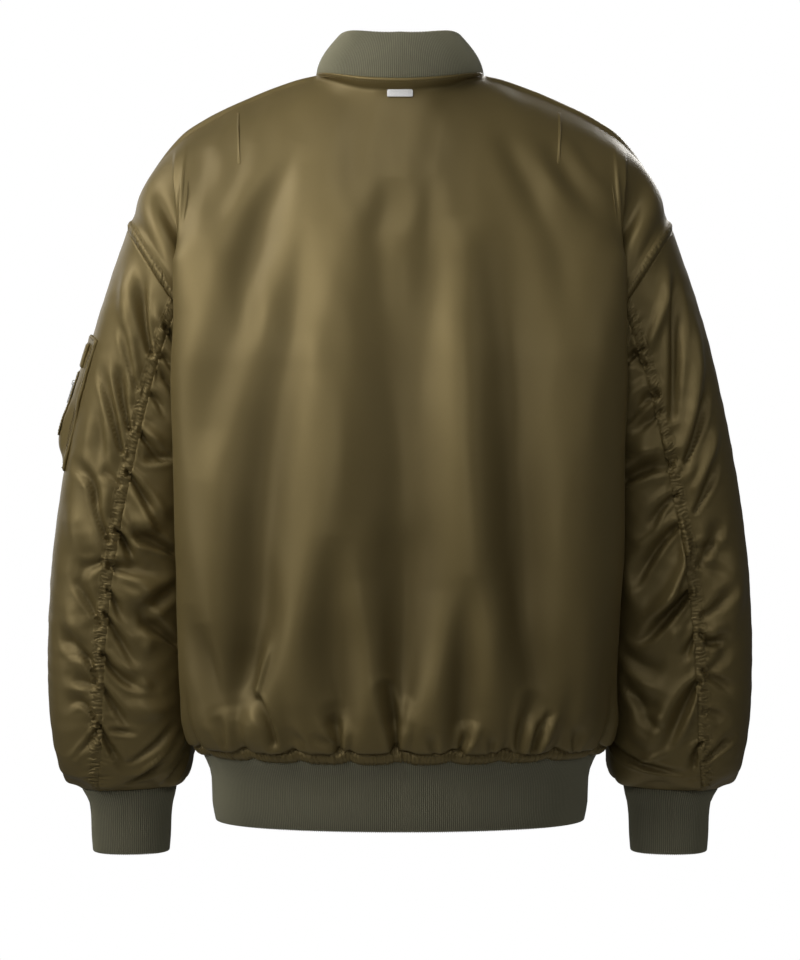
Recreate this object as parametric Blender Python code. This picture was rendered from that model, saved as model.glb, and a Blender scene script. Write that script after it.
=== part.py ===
"""A bomber jacket in the form it has when it is worn, with the front zip closed and the arms hanging.

Metres, +Z up, front towards -Y, the wearer's left towards +X. The origin is the middle of the neck,
level with the points where the collar meets the shoulder seams, which is where the wearer holds it up.
"""

import math

import bmesh
import bpy
import numpy as np
from mathutils import Matrix, Vector
from mathutils.bvhtree import BVHTree

# ------------------------------------------------------------------ driving sizes
WALL = 0.0024  # nylon shell with its thin interlining
RIB_WALL = 0.0028  # rib knit, folded double
SEAM_GAP = 0.0003  # between the pieces that a seam joins
SAME_POINT = 0.0002  # border points this close are one point of a seam
ALIKE = 0.85  # cosine within which pieces lie alike at a seam
SHARPEST = 0.40  # cosine of the most that a rim leans away from its own cloth
FLIP = np.array([-1.0, 1.0, 1.0])
RIM_ORDER = np.array([1.0, 1.7, 2.3])

HEM_Z = -0.664  # seam between the body and the rib band
HEM_BOTTOM_Z = -0.732
UNDERARM_Z = -0.291
CUFF_BOTTOM_Z = -0.7705

SHOULDER_TIP = np.array([0.270, 0.0, -0.150])  # top of the dropped armhole
UNDERARM = np.array([0.175, 0.0, UNDERARM_Z])  # bottom of the armhole
ARMHOLE_HALF_DEPTH = 0.088

NECK_HALF_WIDTH = 0.083
NECK_BACK = (0.072, -0.011)  # y and z of the neck seam at centre back
NECK_FRONT = (-0.088, -0.078)  # and at centre front
NECK_SIDE = (-0.006, 0.004)  # and at the shoulder seam
SHOULDER_SEAM_Y = -0.012

ZIP_HALF = 0.0090  # half the strip between the two fronts
FRONT_EDGE_SHARE = 0.01657  # where the fronts end on the neck seam: there x is ZIP_HALF
TAPE_WALL = 0.0010
CHAIN_HALF = 0.0032
CHAIN_WALL = 0.0020
POCKET_CHAIN_WALL = 0.0015
TAB_WALL = 0.0020

# ------------------------------------------------------------------ sections
# The torso, a row for each level. back_y and front_y are the centre lines. The side has a back lobe and
# a front lobe that stand proud of the side seam, where the sleeve lies against the body.
TORSO = {
    "z":            (HEM_Z, -0.6560, -0.6400, -0.6100, -0.5600, -0.4800, -0.3800, UNDERARM_Z),
    "back_y":       (0.1515, 0.1580, 0.1655, 0.1715, 0.1750, 0.1760, 0.1720, 0.1640),
    "back_lobe_x":  (0.1965, 0.2035, 0.2090, 0.2115, 0.2140, 0.2150, 0.2150, 0.2150),
    "back_lobe_y":  (0.0350, 0.0450, 0.0580, 0.0700, 0.0800, 0.0880, 0.0970, 0.1060),
    "side_x":       (0.1900, 0.1915, 0.1930, 0.1940, 0.1930, 0.1900, 0.1820, 0.1750),
    "front_lobe_x": (0.1965, 0.2025, 0.2070, 0.2095, 0.2115, 0.2120, 0.2110, 0.2090),
    "front_lobe_y": (-0.0350, -0.0450, -0.0580, -0.0700, -0.0780, -0.0840, -0.0920, -0.1000),
    "front_y":      (-0.1465, -0.1525, -0.1595, -0.1645, -0.1670, -0.1670, -0.1610, -0.1500),
}
RING_ROUNDNESS = 0.60  # how far the centre lines' curve runs on before it turns the corner
LOBE_ROUNDNESS = 0.12  # how soon it turns in behind the lobe
SIDE_FLATNESS = 0.74  # and how flat it is where the sleeve lies

# The shoulder seam from the neck to the tip of the dropped armhole.
SHOULDER_LINE = {
    "x": (0.083, 0.105, 0.129, 0.163, 0.196, 0.220, 0.241, 0.257, 0.270),
    "z": (0.004, -0.001, -0.009, -0.0235, -0.040, -0.057, -0.084, -0.115, -0.150),
}
NECK_SHARE = 0.24  # share of a half panel's width that ends at the neck
NECK_CORNER = 0.14  # how far the corner between the neck and the shoulder seam spreads below them
NECK_CORNER_REACH = 0.14  # and how near the top it comes out, as a share of the way up from the underarm
LOBE_SHARE = 0.70  # where the lobe is, as a share of the same width
CHEST_RISE = 0.330  # the way up a panel from the underarm to its top
SLOPE_STEP = 0.002  # the slope at the underarm is taken over this much

# How the panels leave the chest and arrive at the neck and the shoulder seam: the length of each tangent.
RISE = {
    "share": (0.0, 0.24, 0.55, 0.72, 0.82, 1.0),
    "back": (0.27, 0.30, 0.29, 0.30, 0.22, 0.14),
    "front": (0.20, 0.30, 0.29, 0.30, 0.22, 0.14),
}
ARRIVE_BACK = {
    "share": (0.0, 0.24, 0.55, 0.72, 0.82, 1.0),
    "y": (-0.13, -0.20, -0.22, -0.23, -0.16, -0.12),
    "z": (0.13, 0.03, -0.01, -0.01, -0.02, -0.01),
}
ARRIVE_FRONT = {
    "share": (0.0, 0.24, 0.55, 0.72, 0.82, 1.0),
    "y": (0.06, 0.20, 0.21, 0.22, 0.16, 0.12),
    "z": (0.12, 0.09, 0.05, 0.03, 0.01, 0.01),
}

# The sleeve, a row for each ring from the armhole to the cuff seam: its outer and inner edge, half its
# depth, and how far its middle is in front of the side seam.
SLEEVE = {
    "outer_x":    (0.2700, 0.2925, 0.3115, 0.3270, 0.3390, 0.3470, 0.3502, 0.3487, 0.3432, 0.3345, 0.3175),
    "outer_z":    (-0.150, -0.218, -0.288, -0.358, -0.428, -0.498, -0.568, -0.630, -0.672, -0.696, -0.7085),
    "inner_x":    (0.1750, 0.1845, 0.1925, 0.1975, 0.2005, 0.2025, 0.2045, 0.2062, 0.2070, 0.2115, 0.2240),
    "inner_z":    (-0.291, -0.327, -0.376, -0.426, -0.476, -0.531, -0.586, -0.635, -0.672, -0.6960, -0.7050),
    "half_depth": (0.0880, 0.0865, 0.0850, 0.0830, 0.0805, 0.0780, 0.0755, 0.0720, 0.0660, 0.0550, 0.0400),
    "middle_y":   (0.0, -0.002, -0.004, -0.006, -0.008, -0.010, -0.012, -0.013, -0.014, -0.014, -0.014),
}
# Where the sleeve's two seams run: degrees from the outer edge, towards the back, from armhole to cuff.
SLEEVE_SEAMS = {
    "along": (0.0, 0.25, 0.5, 0.75, 1.0),
    "back": (99.0, 93.0, 84.0, 77.0, 62.0),
    "front": (235.0, 240.0, 244.0, 248.0, 250.0),
}

CUFF = {
    "z": (-0.7083, -0.7200, -0.7320, -0.7560, CUFF_BOTTOM_Z),
    "half_x": (0.0440, 0.0415, 0.0400, 0.0390, 0.0378),
    "half_y": (0.0385, 0.0368, 0.0357, 0.0350, 0.0342),
}
CUFF_MIDDLE_X = 0.2690
CUFF_MIDDLE_Y = -0.014

HEM_BAND = {
    "z": (HEM_Z, -0.6725, -0.6830, -0.7000, -0.7150, HEM_BOTTOM_Z),
    "grow": (0.0, -0.0044, -0.0086, -0.0103, -0.0108, -0.0140),
}

# The collar, by angle round the neck from centre back: its height and how far it leans in.
COLLAR = {
    "angle":  (0.0, 45.0, 90.0, 130.0, 155.0, 168.0, 180.0),
    "height": (0.0485, 0.0455, 0.0365, 0.0380, 0.0400, 0.0330, 0.0170),
    "lean":   (0.0150, 0.0190, 0.0215, 0.0140, 0.0080, 0.0050, 0.0020),
}
COLLAR_END_ANGLE = 179.0  # the collar's ends stand this near the middle
COLLAR_LEVELS = (0.0, 0.35, 0.7, 1.0)
COLLAR_BOW = 0.0030

# ------------------------------------------------------------------ the largest folds
# A long fold of a body panel is a line of points going down, each with x, z, how far it stands out (or in, if
# negative) and how wide it is there. Its last value, lean, makes one flank steep and the other long.
BACK_FOLDS = (
    ((0.114, -0.070, 0.0, 0.012), (0.127, -0.117, -0.0085, 0.013), (0.1365, -0.177, -0.0110, 0.014),
     (0.144, -0.233, -0.0105, 0.015), (0.156, -0.289, -0.0075, 0.015), (0.174, -0.350, 0.0, 0.015), -0.25),
    ((0.082, -0.154, 0.0, 0.011), (0.098, -0.233, -0.0050, 0.012), (0.113, -0.284, -0.0070, 0.014),
     (0.119, -0.326, -0.0095, 0.015), (0.126, -0.381, -0.0110, 0.016), (0.132, -0.437, -0.0120, 0.016),
     (0.139, -0.511, -0.0120, 0.015), (0.142, -0.595, -0.0110, 0.014), (0.141, -0.645, -0.0070, 0.013),
     -0.25),
    ((0.107, -0.130, 0.0, 0.013), (0.120, -0.224, 0.0045, 0.014), (0.135, -0.279, 0.0045, 0.014),
     (0.149, -0.354, 0.0045, 0.015), (0.162, -0.437, 0.0045, 0.016), (0.168, -0.511, 0.0045, 0.016),
     (0.168, -0.620, 0.0030, 0.015), 0.0),
    ((0.150, -0.095, 0.0, 0.016), (0.160, -0.160, 0.0050, 0.018), (0.172, -0.240, 0.0060, 0.018),
     (0.184, -0.330, 0.0040, 0.018), (0.190, -0.420, 0.0, 0.018), 0.20),
    ((0.062, -0.095, 0.0, 0.024), (0.066, -0.160, 0.0050, 0.026), (0.070, -0.260, 0.0090, 0.027),
     (0.073, -0.370, 0.0085, 0.027), (0.076, -0.460, 0.0070, 0.025), (0.086, -0.530, 0.0060, 0.020),
     (0.096, -0.600, 0.0060, 0.018), (0.099, -0.640, 0.0040, 0.016), 0.20),
    ((0.010, -0.130, 0.0, 0.020), (0.006, -0.190, -0.0070, 0.022), (0.003, -0.270, -0.0100, 0.024),
     (0.001, -0.370, -0.0100, 0.023), (0.002, -0.460, -0.0100, 0.021), (0.001, -0.540, -0.0105, 0.017),
     (-0.001, -0.600, -0.0105, 0.015), (-0.003, -0.645, -0.0070, 0.014), -0.25),
    ((-0.058, -0.125, 0.0, 0.022), (-0.060, -0.200, 0.0070, 0.025), (-0.060, -0.300, 0.0095, 0.026),
     (-0.058, -0.400, 0.0090, 0.024), (-0.053, -0.480, 0.0065, 0.019), (-0.043, -0.550, 0.0055, 0.014),
     (-0.037, -0.630, 0.0040, 0.014), 0.20),
    ((-0.066, -0.450, 0.0, 0.014), (-0.078, -0.530, 0.0060, 0.016), (-0.086, -0.600, 0.0055, 0.016),
     (-0.090, -0.640, 0.0030, 0.015), 0.20),
    ((-0.098, -0.170, 0.0, 0.016), (-0.106, -0.240, -0.0065, 0.019), (-0.113, -0.340, -0.0090, 0.020),
     (-0.117, -0.430, -0.0105, 0.018), (-0.121, -0.510, -0.0110, 0.016), (-0.127, -0.580, -0.0100, 0.015),
     (-0.132, -0.640, -0.0060, 0.014), -0.25),
    ((-0.140, -0.120, 0.0, 0.022), (-0.152, -0.220, 0.0050, 0.024), (-0.158, -0.350, 0.0060, 0.025),
     (-0.158, -0.480, 0.0060, 0.024), (-0.152, -0.620, 0.0040, 0.020), 0.0),
    ((0.068, -0.470, 0.0, 0.012), (0.065, -0.530, -0.0060, 0.013), (0.062, -0.590, -0.0075, 0.013),
     (0.057, -0.645, -0.0060, 0.012), -0.20),
    ((-0.058, -0.500, 0.0, 0.011), (-0.060, -0.560, -0.0060, 0.012), (-0.061, -0.610, -0.0065, 0.012),
     (-0.061, -0.645, -0.0050, 0.011), -0.20),
    ((0.037, -0.480, 0.0, 0.013), (0.033, -0.550, 0.0050, 0.014), (0.034, -0.630, 0.0030, 0.014), 0.0),
    ((-0.198, -0.500, 0.0, 0.012), (-0.194, -0.570, -0.0055, 0.013), (-0.187, -0.645, -0.0050, 0.012), 0.0),
)
FRONT_FOLDS = (
    ((0.112, -0.080, 0.0, 0.016), (0.140, -0.140, -0.0070, 0.018), (0.160, -0.220, -0.0080, 0.020),
     (0.172, -0.320, -0.0070, 0.020), (0.178, -0.430, 0.0, 0.020), -0.20),
    ((0.070, -0.130, 0.0, 0.022), (0.086, -0.230, 0.0070, 0.024), (0.096, -0.340, 0.0080, 0.025),
     (0.100, -0.450, 0.0075, 0.024), (0.104, -0.560, 0.0060, 0.020), (0.104, -0.640, 0.0030, 0.018), 0.20),
    ((0.040, -0.170, 0.0, 0.018), (0.049, -0.270, -0.0065, 0.020), (0.052, -0.380, -0.0080, 0.020),
     (0.050, -0.500, -0.0085, 0.018), (0.048, -0.590, -0.0080, 0.015), (0.046, -0.645, -0.0050, 0.014),
     -0.20),
    ((0.150, -0.400, 0.0, 0.015), (0.148, -0.490, -0.0080, 0.017), (0.144, -0.580, -0.0090, 0.016),
     (0.141, -0.645, -0.0060, 0.014), -0.20),
    ((0.089, -0.480, 0.0, 0.012), (0.088, -0.560, -0.0070, 0.013), (0.092, -0.645, -0.0060, 0.012), 0.0),
    ((0.028, -0.420, 0.0, 0.013), (0.026, -0.520, 0.0040, 0.014), (0.030, -0.630, 0.0030, 0.013), 0.0),
)
# The gathers at the hem: how far round each half panel the tucks sit, from the centre line.
HEM_TUCKS = {
    "back": (0.010, 0.165, 0.330, 0.500, 0.700, 0.900),
    "front": (0.130, 0.290, 0.450, 0.620, 0.800, 0.940),
}
TUCK_DEPTH = 0.0060
TUCK_WIDTH = 0.028  # of the half panel
TUCK_RISE = 0.045  # how far above the hem a tuck dies out

# Each fold of a sleeve is a curve through three points, given in degrees round and share along. from_end and
# to_end say how much of it is left where it starts and ends.
FOLD_COLUMNS = ("a0", "v0", "a1", "v1", "a2", "v2", "depth", "width", "from_end", "to_end")
SLEEVE_FOLDS = (
    (20.0, 0.10, 55.0, 0.22, 88.0, 0.30, -0.0050, 0.012, 0.1, 0.9),
    (25.0, 0.34, 58.0, 0.46, 84.0, 0.50, -0.0055, 0.013, 0.1, 0.9),
    (15.0, 0.54, 50.0, 0.64, 80.0, 0.67, -0.0055, 0.013, 0.1, 0.9),
    (5.0, 0.72, 45.0, 0.82, 74.0, 0.84, -0.0045, 0.012, 0.1, 0.9),
    (92.0, 0.30, 122.0, 0.40, 160.0, 0.50, -0.0055, 0.013, 0.9, 0.2),
    (86.0, 0.50, 118.0, 0.58, 155.0, 0.66, -0.0060, 0.014, 0.9, 0.2),
    (80.0, 0.67, 112.0, 0.76, 150.0, 0.80, -0.0055, 0.013, 0.9, 0.2),
    (240.0, 0.28, 275.0, 0.36, 320.0, 0.46, -0.0055, 0.013, 0.9, 0.2),
    (245.0, 0.50, 280.0, 0.58, 325.0, 0.66, -0.0055, 0.013, 0.9, 0.2),
    (248.0, 0.72, 285.0, 0.78, 330.0, 0.82, -0.0050, 0.013, 0.9, 0.2),
)
SLEEVE_GATHERS = 5  # at the cuff seam
GATHER_DEPTH = 0.0035

SLEEVE_RADIUS = 0.080  # turns degrees into lengths where a fold's width is compared
SLEEVE_LENGTH = 0.57
CREASE_RIDGE = 0.0050  # the fold from the dropped shoulder down behind the sleeve
CREASE_VALLEY = 0.0050
HEM_LIFT = 0.0030

# ------------------------------------------------------------------ zips, pocket and plate
SLIDER = {
    "half_width": 0.0044, "half_length": 0.0075, "plate": 0.0012, "flange": 0.0007, "skirt": 0.0008,
    "bridge_half": 0.0024, "bridge_height": 0.0024, "bridge_wall": 0.0010, "bridge_width": 0.0010,
    "axis_height": 0.0012,
}
ZIP_SINK = 0.0006  # the tape lies this much below the fronts' faces
SLIDER_CLEAR = 0.0004
LIE_CLEAR = 0.0005  # under what lies on the pocket
POCKET = {
    "rings": (0.15, 0.35), "angles": (-49.0, 33.0), "wall": 0.0015,
    "fullness": (0.0, 0.0015, 0.0045, 0.0085, 0.0),
    "across": (0.0, 0.9, 1.0, 1.0, 0.8, 0.0),
    "zip_column": 1.35, "tape_half": 0.22, "chain_half": 0.075, "zip_rows": (1.1, 1.55, 2.0, 2.5, 3.0),
    "slider_row": 1.45, "zip_size": 0.75, "tab_rows": (0.25, 0.6, 0.95),
    "tab_column": 0.75, "tab_half": 0.20,
}
PLATE = {
    "half_width": 0.0125, "height": 0.0072, "z": -0.0262, "arch": 0.0010, "corner": 0.0010, "thick": 0.0008,
    "clear": 0.0006,
}
PULL = {
    "thick": 0.0012, "bar": 0.0007, "length": 0.0280, "half_width": 0.0034,
    "window": 0.0052, "window_half": 0.0016,
}

# ------------------------------------------------------------------ how finely the pieces are divided
LEVELS = (0.0, 0.030, 0.075, 0.135, 0.215, 0.320, 0.440, 0.570, 0.700, 0.820, 0.920)  # hem to underarm
SHARES = (
    0.0, 0.04, 0.08, 0.12, 0.16, 0.20, 0.24, 0.30, 0.37, 0.44, 0.51, 0.58, 0.64, 0.70, 0.76, 0.84, 0.92, 1.0,
)
OUTER_ANGLES = (
    99.0, 80.0, 62.0, 47.0, 32.0, 16.0, 0.0, -16.0, -32.0, -48.0, -67.0, -86.0, -106.0, -125.0,
)
UNDER_ANGLES = (99.0, 118.0, 137.0, 157.0, 180.0, 198.0, 216.0, 235.0)
RINGS = (
    0.0, 0.05, 0.10, 0.155, 0.203, 0.25, 0.298, 0.345, 0.41,
    0.48, 0.55, 0.62, 0.69, 0.76, 0.83, 0.90, 0.955, 1.0,
)


# ------------------------------------------------------------------ curves
def spline(knots, values, at):
    """A smooth curve through the values: cubic pieces whose slopes are those of the neighbours."""
    knots = np.asarray(knots, float)
    values = np.asarray(values, float)
    if knots[0] > knots[-1]:
        knots, values = knots[::-1], values[::-1]
    step = np.diff(knots)
    slope = np.diff(values) / step
    inner = (slope[:-1] * step[1:] + slope[1:] * step[:-1]) / (step[1:] + step[:-1])
    slopes = np.concatenate([[slope[0]], inner, [slope[-1]]])
    at = np.clip(np.asarray(at, float), knots[0], knots[-1])
    i = np.clip(np.searchsorted(knots, at, side="right") - 1, 0, len(step) - 1)
    u = (at - knots[i]) / step[i]
    return (
        (2 * u**3 - 3 * u**2 + 1) * values[i]
        + (u**3 - 2 * u**2 + u) * step[i] * slopes[i]
        + (3 * u**2 - 2 * u**3) * values[i + 1]
        + (u**3 - u**2) * step[i] * slopes[i + 1]
    )


def column(table, name, at, key):
    return spline(table[key], table[name], at)


def smooth(u):
    u = np.clip(u, 0.0, 1.0)
    return u * u * (3 - 2 * u)


def bezier(a, b, c, d, u):
    u = np.asarray(u, float)[:, None]
    return (1 - u) ** 3 * a + 3 * (1 - u) ** 2 * u * b + 3 * (1 - u) * u**2 * c + u**3 * d


def lengths(points):
    """How far along a polyline its points are."""
    return np.concatenate([[0.0], np.cumsum(np.linalg.norm(np.diff(points, axis=0), axis=1))])


def even(points, shares):
    """Points of a polyline at these shares of its length."""
    along = lengths(points)
    at = np.asarray(shares) * along[-1]
    return np.stack([np.interp(at, along, points[:, k]) for k in range(points.shape[1])], axis=1)


# ------------------------------------------------------------------ the body's surface
def torso_arc(z, side, shares):
    """Points of the torso's section at height z from the centre line to the side seam, on +X."""
    name = "back" if side > 0 else "front"
    keys = (f"{name}_y", f"{name}_lobe_x", f"{name}_lobe_y", "side_x")
    centre_y, lobe_x, lobe_y, side_x = (float(column(TORSO, key, z, "z")) for key in keys)
    centre = np.array([0.0, centre_y])
    lobe = np.array([lobe_x, lobe_y])
    seam = np.array([side_x, 0.0])
    corner = bezier(
        centre,
        np.array([RING_ROUNDNESS * lobe_x, centre_y]),
        np.array([lobe_x, lobe_y + RING_ROUNDNESS * (centre_y - lobe_y)]),
        lobe,
        np.linspace(0, 1, 60),
    )
    reach = np.array([0.0, lobe_y])
    turn_in, flat_end = lobe - LOBE_ROUNDNESS * reach, seam + SIDE_FLATNESS * reach
    flank = bezier(lobe, turn_in, flat_end, seam, np.linspace(0, 1, 40))
    flat = even(np.concatenate([corner, flank[1:]]), shares)
    return np.column_stack([flat, np.full(len(flat), z)])


def neck_point(angle):
    """A point of the neck seam. Angle 0 is centre back, 90 the wearer's left, 180 centre front."""
    turn = np.radians(np.asarray(angle, float))
    x = NECK_HALF_WIDTH * np.sin(turn)
    back = np.cos(turn) >= 0
    reach = np.abs(np.cos(turn))
    y = NECK_SIDE[0] + np.where(back, NECK_BACK[0] - NECK_SIDE[0], NECK_FRONT[0] - NECK_SIDE[0]) * reach
    back_drop, front_drop = NECK_BACK[1] - NECK_SIDE[1], NECK_FRONT[1] - NECK_SIDE[1]
    drop = np.where(back, back_drop * reach**2, front_drop * reach**1.35)
    return np.stack([x, y, NECK_SIDE[1] + drop], axis=-1)


def top_edge(side, shares):
    """The upper end of a body panel: round the neck, then along the shoulder seam to the tip."""
    shares = np.asarray(shares, float)
    turn = np.clip(shares / NECK_SHARE, 0, 1) * 90.0
    neck = neck_point(turn if side > 0 else 180.0 - turn)
    dense = np.linspace(SHOULDER_LINE["x"][0], SHOULDER_LINE["x"][-1], 80)
    seam_y = NECK_SIDE[0] + (SHOULDER_SEAM_Y - NECK_SIDE[0]) * smooth((dense - dense[0]) / 0.05)
    seam_y *= 1 - smooth((dense - 0.225) / (SHOULDER_TIP[0] - 0.225))
    line = np.column_stack([dense, seam_y, column(SHOULDER_LINE, "z", dense, "x")])
    shoulder = even(line, np.clip((shares - NECK_SHARE) / (1 - NECK_SHARE), 0, 1))
    return np.where((shares <= NECK_SHARE)[:, None], neck, shoulder)


def softened_top(side, shares):
    """The same without the corner where the neck meets the shoulder seam."""
    spots = np.linspace(-NECK_CORNER, NECK_CORNER, 25)
    weights = np.cos(spots / NECK_CORNER * math.pi / 2) ** 2
    total = 0
    for spot, weight in zip(spots, weights):
        place = shares + spot * smooth((1 - shares) / 0.3)
        across_middle = np.where(place < 0, -1, 1)[:, None] ** (1, 0, 0)
        total = total + weight * top_edge(side, np.abs(place)) * across_middle
    return total / weights.sum()


def armhole(angle):
    """A point of the armhole seam. Angle 0 is the shoulder tip, 90 its back, 180 the underarm."""
    turn = np.radians(np.asarray(angle, float))[..., None]
    middle = (SHOULDER_TIP + UNDERARM) / 2
    across = (SHOULDER_TIP - UNDERARM) / 2
    return middle + np.cos(turn) * across + np.sin(turn) * np.array([0.0, ARMHOLE_HALF_DEPTH, 0.0])


def lofted(u, a, b, leave, arrive):
    """A cubic from a to b with these tangents."""
    start = (2 * u**3 - 3 * u**2 + 1) * a + (u**3 - 2 * u**2 + u) * leave
    return start + (3 * u**2 - 2 * u**3) * b + (u**3 - u**2) * arrive


def chest_to_shoulder(side, shares, angle):
    """Points of a body panel above the underarm. This row ends on the armhole at this angle."""
    shares = np.append(shares, 1.0)
    rise = 1 - abs(angle) / 180.0
    name, arrive = ("back", ARRIVE_BACK) if side > 0 else ("front", ARRIVE_FRONT)
    zero = np.zeros(len(shares))
    chest = torso_arc(UNDERARM_Z, side, shares)
    slope = (chest - torso_arc(UNDERARM_Z - SLOPE_STEP, side, shares)) / SLOPE_STEP
    leave = slope * column(RISE, name, shares, "share")[:, None]
    down, over = (column(arrive, axis, shares, "share") for axis in "yz")
    reach = np.stack([zero, down, over], axis=1)
    soft = softened_top(side, shares)
    top = soft + (top_edge(side, shares) - soft) * smooth((rise - 1) / NECK_CORNER_REACH + 1) ** 2
    points = lofted(rise, chest, top, leave, reach)
    pull = smooth((shares - LOBE_SHARE) / (1 - LOBE_SHARE))[:, None]
    points = points + pull * (armhole(angle if side > 0 else -angle) - points[-1])
    return points[:-1]


def long_fold(points, lean):
    """Places along a long fold, with its depth and width at each, and its lean."""
    points = np.array(points)
    knots = lengths(points[:, :2])
    at = np.linspace(0, knots[-1], 5 * len(points))
    smoothed = np.stack([spline(knots, points[:, k], at) for k in range(4)], axis=1)
    return smoothed[:, :2], smoothed[:, 2], smoothed[:, 3], lean


def sleeve_fold(fold, scale):
    """The same for a fold of a sleeve, whose places are turned into lengths."""
    x0, z0, x1, z1, x2, z2, depth, width, from_end, to_end = fold
    start, middle, end = (np.array(p) * scale for p in ((x0, z0), (x1, z1), (x2, z2)))
    u = np.linspace(0, 1, 25)[:, None]
    bend = 2 * middle - (start + end) / 2
    line = (1 - u) ** 2 * start + 2 * (1 - u) * u * bend + u**2 * end
    u = u[:, 0]
    left = np.where(u < 0.5, from_end, to_end)
    return line, depth * (left + (1 - left) * np.sin(np.pi * u)), np.full(len(u), width), 0.0


def pushed_by(lines, here):
    """How far the folds push the cloth out at these places."""
    push = np.zeros(here.shape[:-1])
    for line, depth, width, lean in lines:
        way = np.gradient(line, axis=0)
        way /= np.linalg.norm(way, axis=1, keepdims=True)
        apart = here[..., None, :] - line
        far = np.linalg.norm(apart, axis=-1)
        nearest = far.argmin(axis=-1)
        gap = far.min(axis=-1)
        off = np.take_along_axis(apart, nearest[..., None, None], axis=-2)[..., 0, :]
        ahead = way[nearest]
        hand = (ahead[..., 0] * off[..., 1] - ahead[..., 1] * off[..., 0]) / np.maximum(gap, 1e-9)
        push += depth[nearest] * np.exp(-((gap / (width[nearest] * (1 + lean * hand))) ** 2))
    return push


def tucks_at(side, shares, z):
    """The gathers above the hem seam: narrow tucks, with the cloth between them blown out."""
    rise = np.exp(-(((z - HEM_Z - 0.012) / TUCK_RISE) ** 2)) * smooth((z - HEM_Z) / 0.010)
    push = np.full(z.shape, 0.3)
    for place in HEM_TUCKS["back" if side > 0 else "front"]:
        push -= np.exp(-(((shares - place) / TUCK_WIDTH) ** 2))
    return push * TUCK_DEPTH * rise


def hem_wave(side, shares):
    """The hem seam rises a little at each tuck."""
    lift = np.zeros(len(shares))
    for place in HEM_TUCKS["back" if side > 0 else "front"]:
        lift += np.exp(-(((shares - place) / TUCK_WIDTH) ** 2))
    return HEM_LIFT * lift * smooth((1 - shares) / 0.1)


def outward(points, inside):
    """Unit normals of a grid, all on the side away from these points inside it."""
    normal = np.cross(np.gradient(points, axis=0), np.gradient(points, axis=1))
    normal /= np.linalg.norm(normal, axis=2, keepdims=True)
    return normal if ((points - inside) * normal).sum() > 0 else -normal


def half_panel(side, angles):
    """One half of the body on +X, back or front: rows from the hem to the top, columns outwards. Also gives
    how far each row is above the underarm, as a share of the way up to the panel's top."""
    shares = np.array(SHARES)
    if side < 0:
        shares[0] = FRONT_EDGE_SHARE
    rows = []
    for level in LEVELS:
        row = torso_arc(HEM_Z + level * (UNDERARM_Z - HEM_Z), side, shares)
        row[:, 2] += hem_wave(side, shares) * smooth(1 - level / 0.12)
        rows.append(row)
    rows += [chest_to_shoulder(side, shares, angle) for angle in angles]
    points = np.array(rows)
    if side < 0:
        points[:-1, 0, 0] = ZIP_HALF
    below = [(level - 1) * (UNDERARM_Z - HEM_Z) / CHEST_RISE for level in LEVELS]
    return points, shares, np.array(below + [1 - abs(angle) / 180.0 for angle in angles])


def body_push(side, points, shares, rises, hand):
    """How far the cloth of a half panel is pushed out. hand is 1 for the wearer's left, -1 for the right."""
    place = np.broadcast_to(shares, points.shape[:2])
    rise = rises[:, None]
    here = points[..., ::2] * (hand if side > 0 else 1, 1)
    folds = [long_fold(fold[:-1], fold[-1]) for fold in (BACK_FOLDS if side > 0 else FRONT_FOLDS)]
    push = pushed_by(folds, here) * smooth((1 - np.maximum(rise, 0.0)) / 0.30)
    push = push * smooth((points[..., 2] - HEM_Z) / 0.030) * smooth((1 - place) / 0.22)
    push = push + tucks_at(side, place, points[..., 2]) * smooth((1 - place) / 0.06)
    crease = smooth((rise + 0.25) / 0.3) * smooth((0.93 - rise) / 0.35)
    ridge = CREASE_RIDGE * np.exp(-(((place - LOBE_SHARE) / 0.045) ** 2))
    valley = CREASE_VALLEY * np.exp(-(((place - LOBE_SHARE - 0.11) / 0.06) ** 2))
    return push + crease * (ridge - valley)


def pushed_half(side, angles, hand):
    points, shares, rises = half_panel(side, angles)
    inside = np.array([0.0, 0.0, -0.35])
    normal = outward(points, inside)
    if side > 0:
        normal[:, 0, 0] = 0.0  # the two halves of the back run on into each other
    points = points + normal * body_push(side, points, shares, rises, hand)[..., None]
    return points if hand > 0 else points * FLIP


def outward_round(points, inside):
    """The same for a grid whose last column is next to its first."""
    return outward(np.concatenate([points[:, -1:], points, points[:, :1]], axis=1), inside)[:, 1:-1]


# ------------------------------------------------------------------ the sleeves
def sleeve_value(name, along):
    return spline(np.linspace(0, 1, len(SLEEVE[name])), SLEEVE[name], along)


def sleeve_angle(angle, along):
    """The seams wander round the sleeve as it goes down, and what lies between them goes along."""
    back = spline(SLEEVE_SEAMS["along"], SLEEVE_SEAMS["back"], along)
    front = spline(SLEEVE_SEAMS["along"], SLEEVE_SEAMS["front"], along)
    knots = (front[()] - 360.0, 0.0, back[()], 180.0, front[()])
    first_back, first_front = SLEEVE_SEAMS["back"][0], SLEEVE_SEAMS["front"][0]
    return np.interp(angle, (first_front - 360.0, 0.0, first_back, 180.0, first_front), knots)


def sleeve_ring(angles, along):
    """Points round the sleeve at this share of its length, on +X, with its middle."""
    outer = np.array([sleeve_value("outer_x", along), 0.0, sleeve_value("outer_z", along)])
    inner = np.array([sleeve_value("inner_x", along), 0.0, sleeve_value("inner_z", along)])
    middle = (outer + inner) / 2 + np.array([0.0, sleeve_value("middle_y", along), 0.0])
    turn = np.radians(sleeve_angle(np.asarray(angles, float), along))[:, None]
    depth = np.array([0.0, sleeve_value("half_depth", along), 0.0])
    return middle + np.cos(turn) * (outer - inner) / 2 + np.sin(turn) * depth, middle


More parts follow.
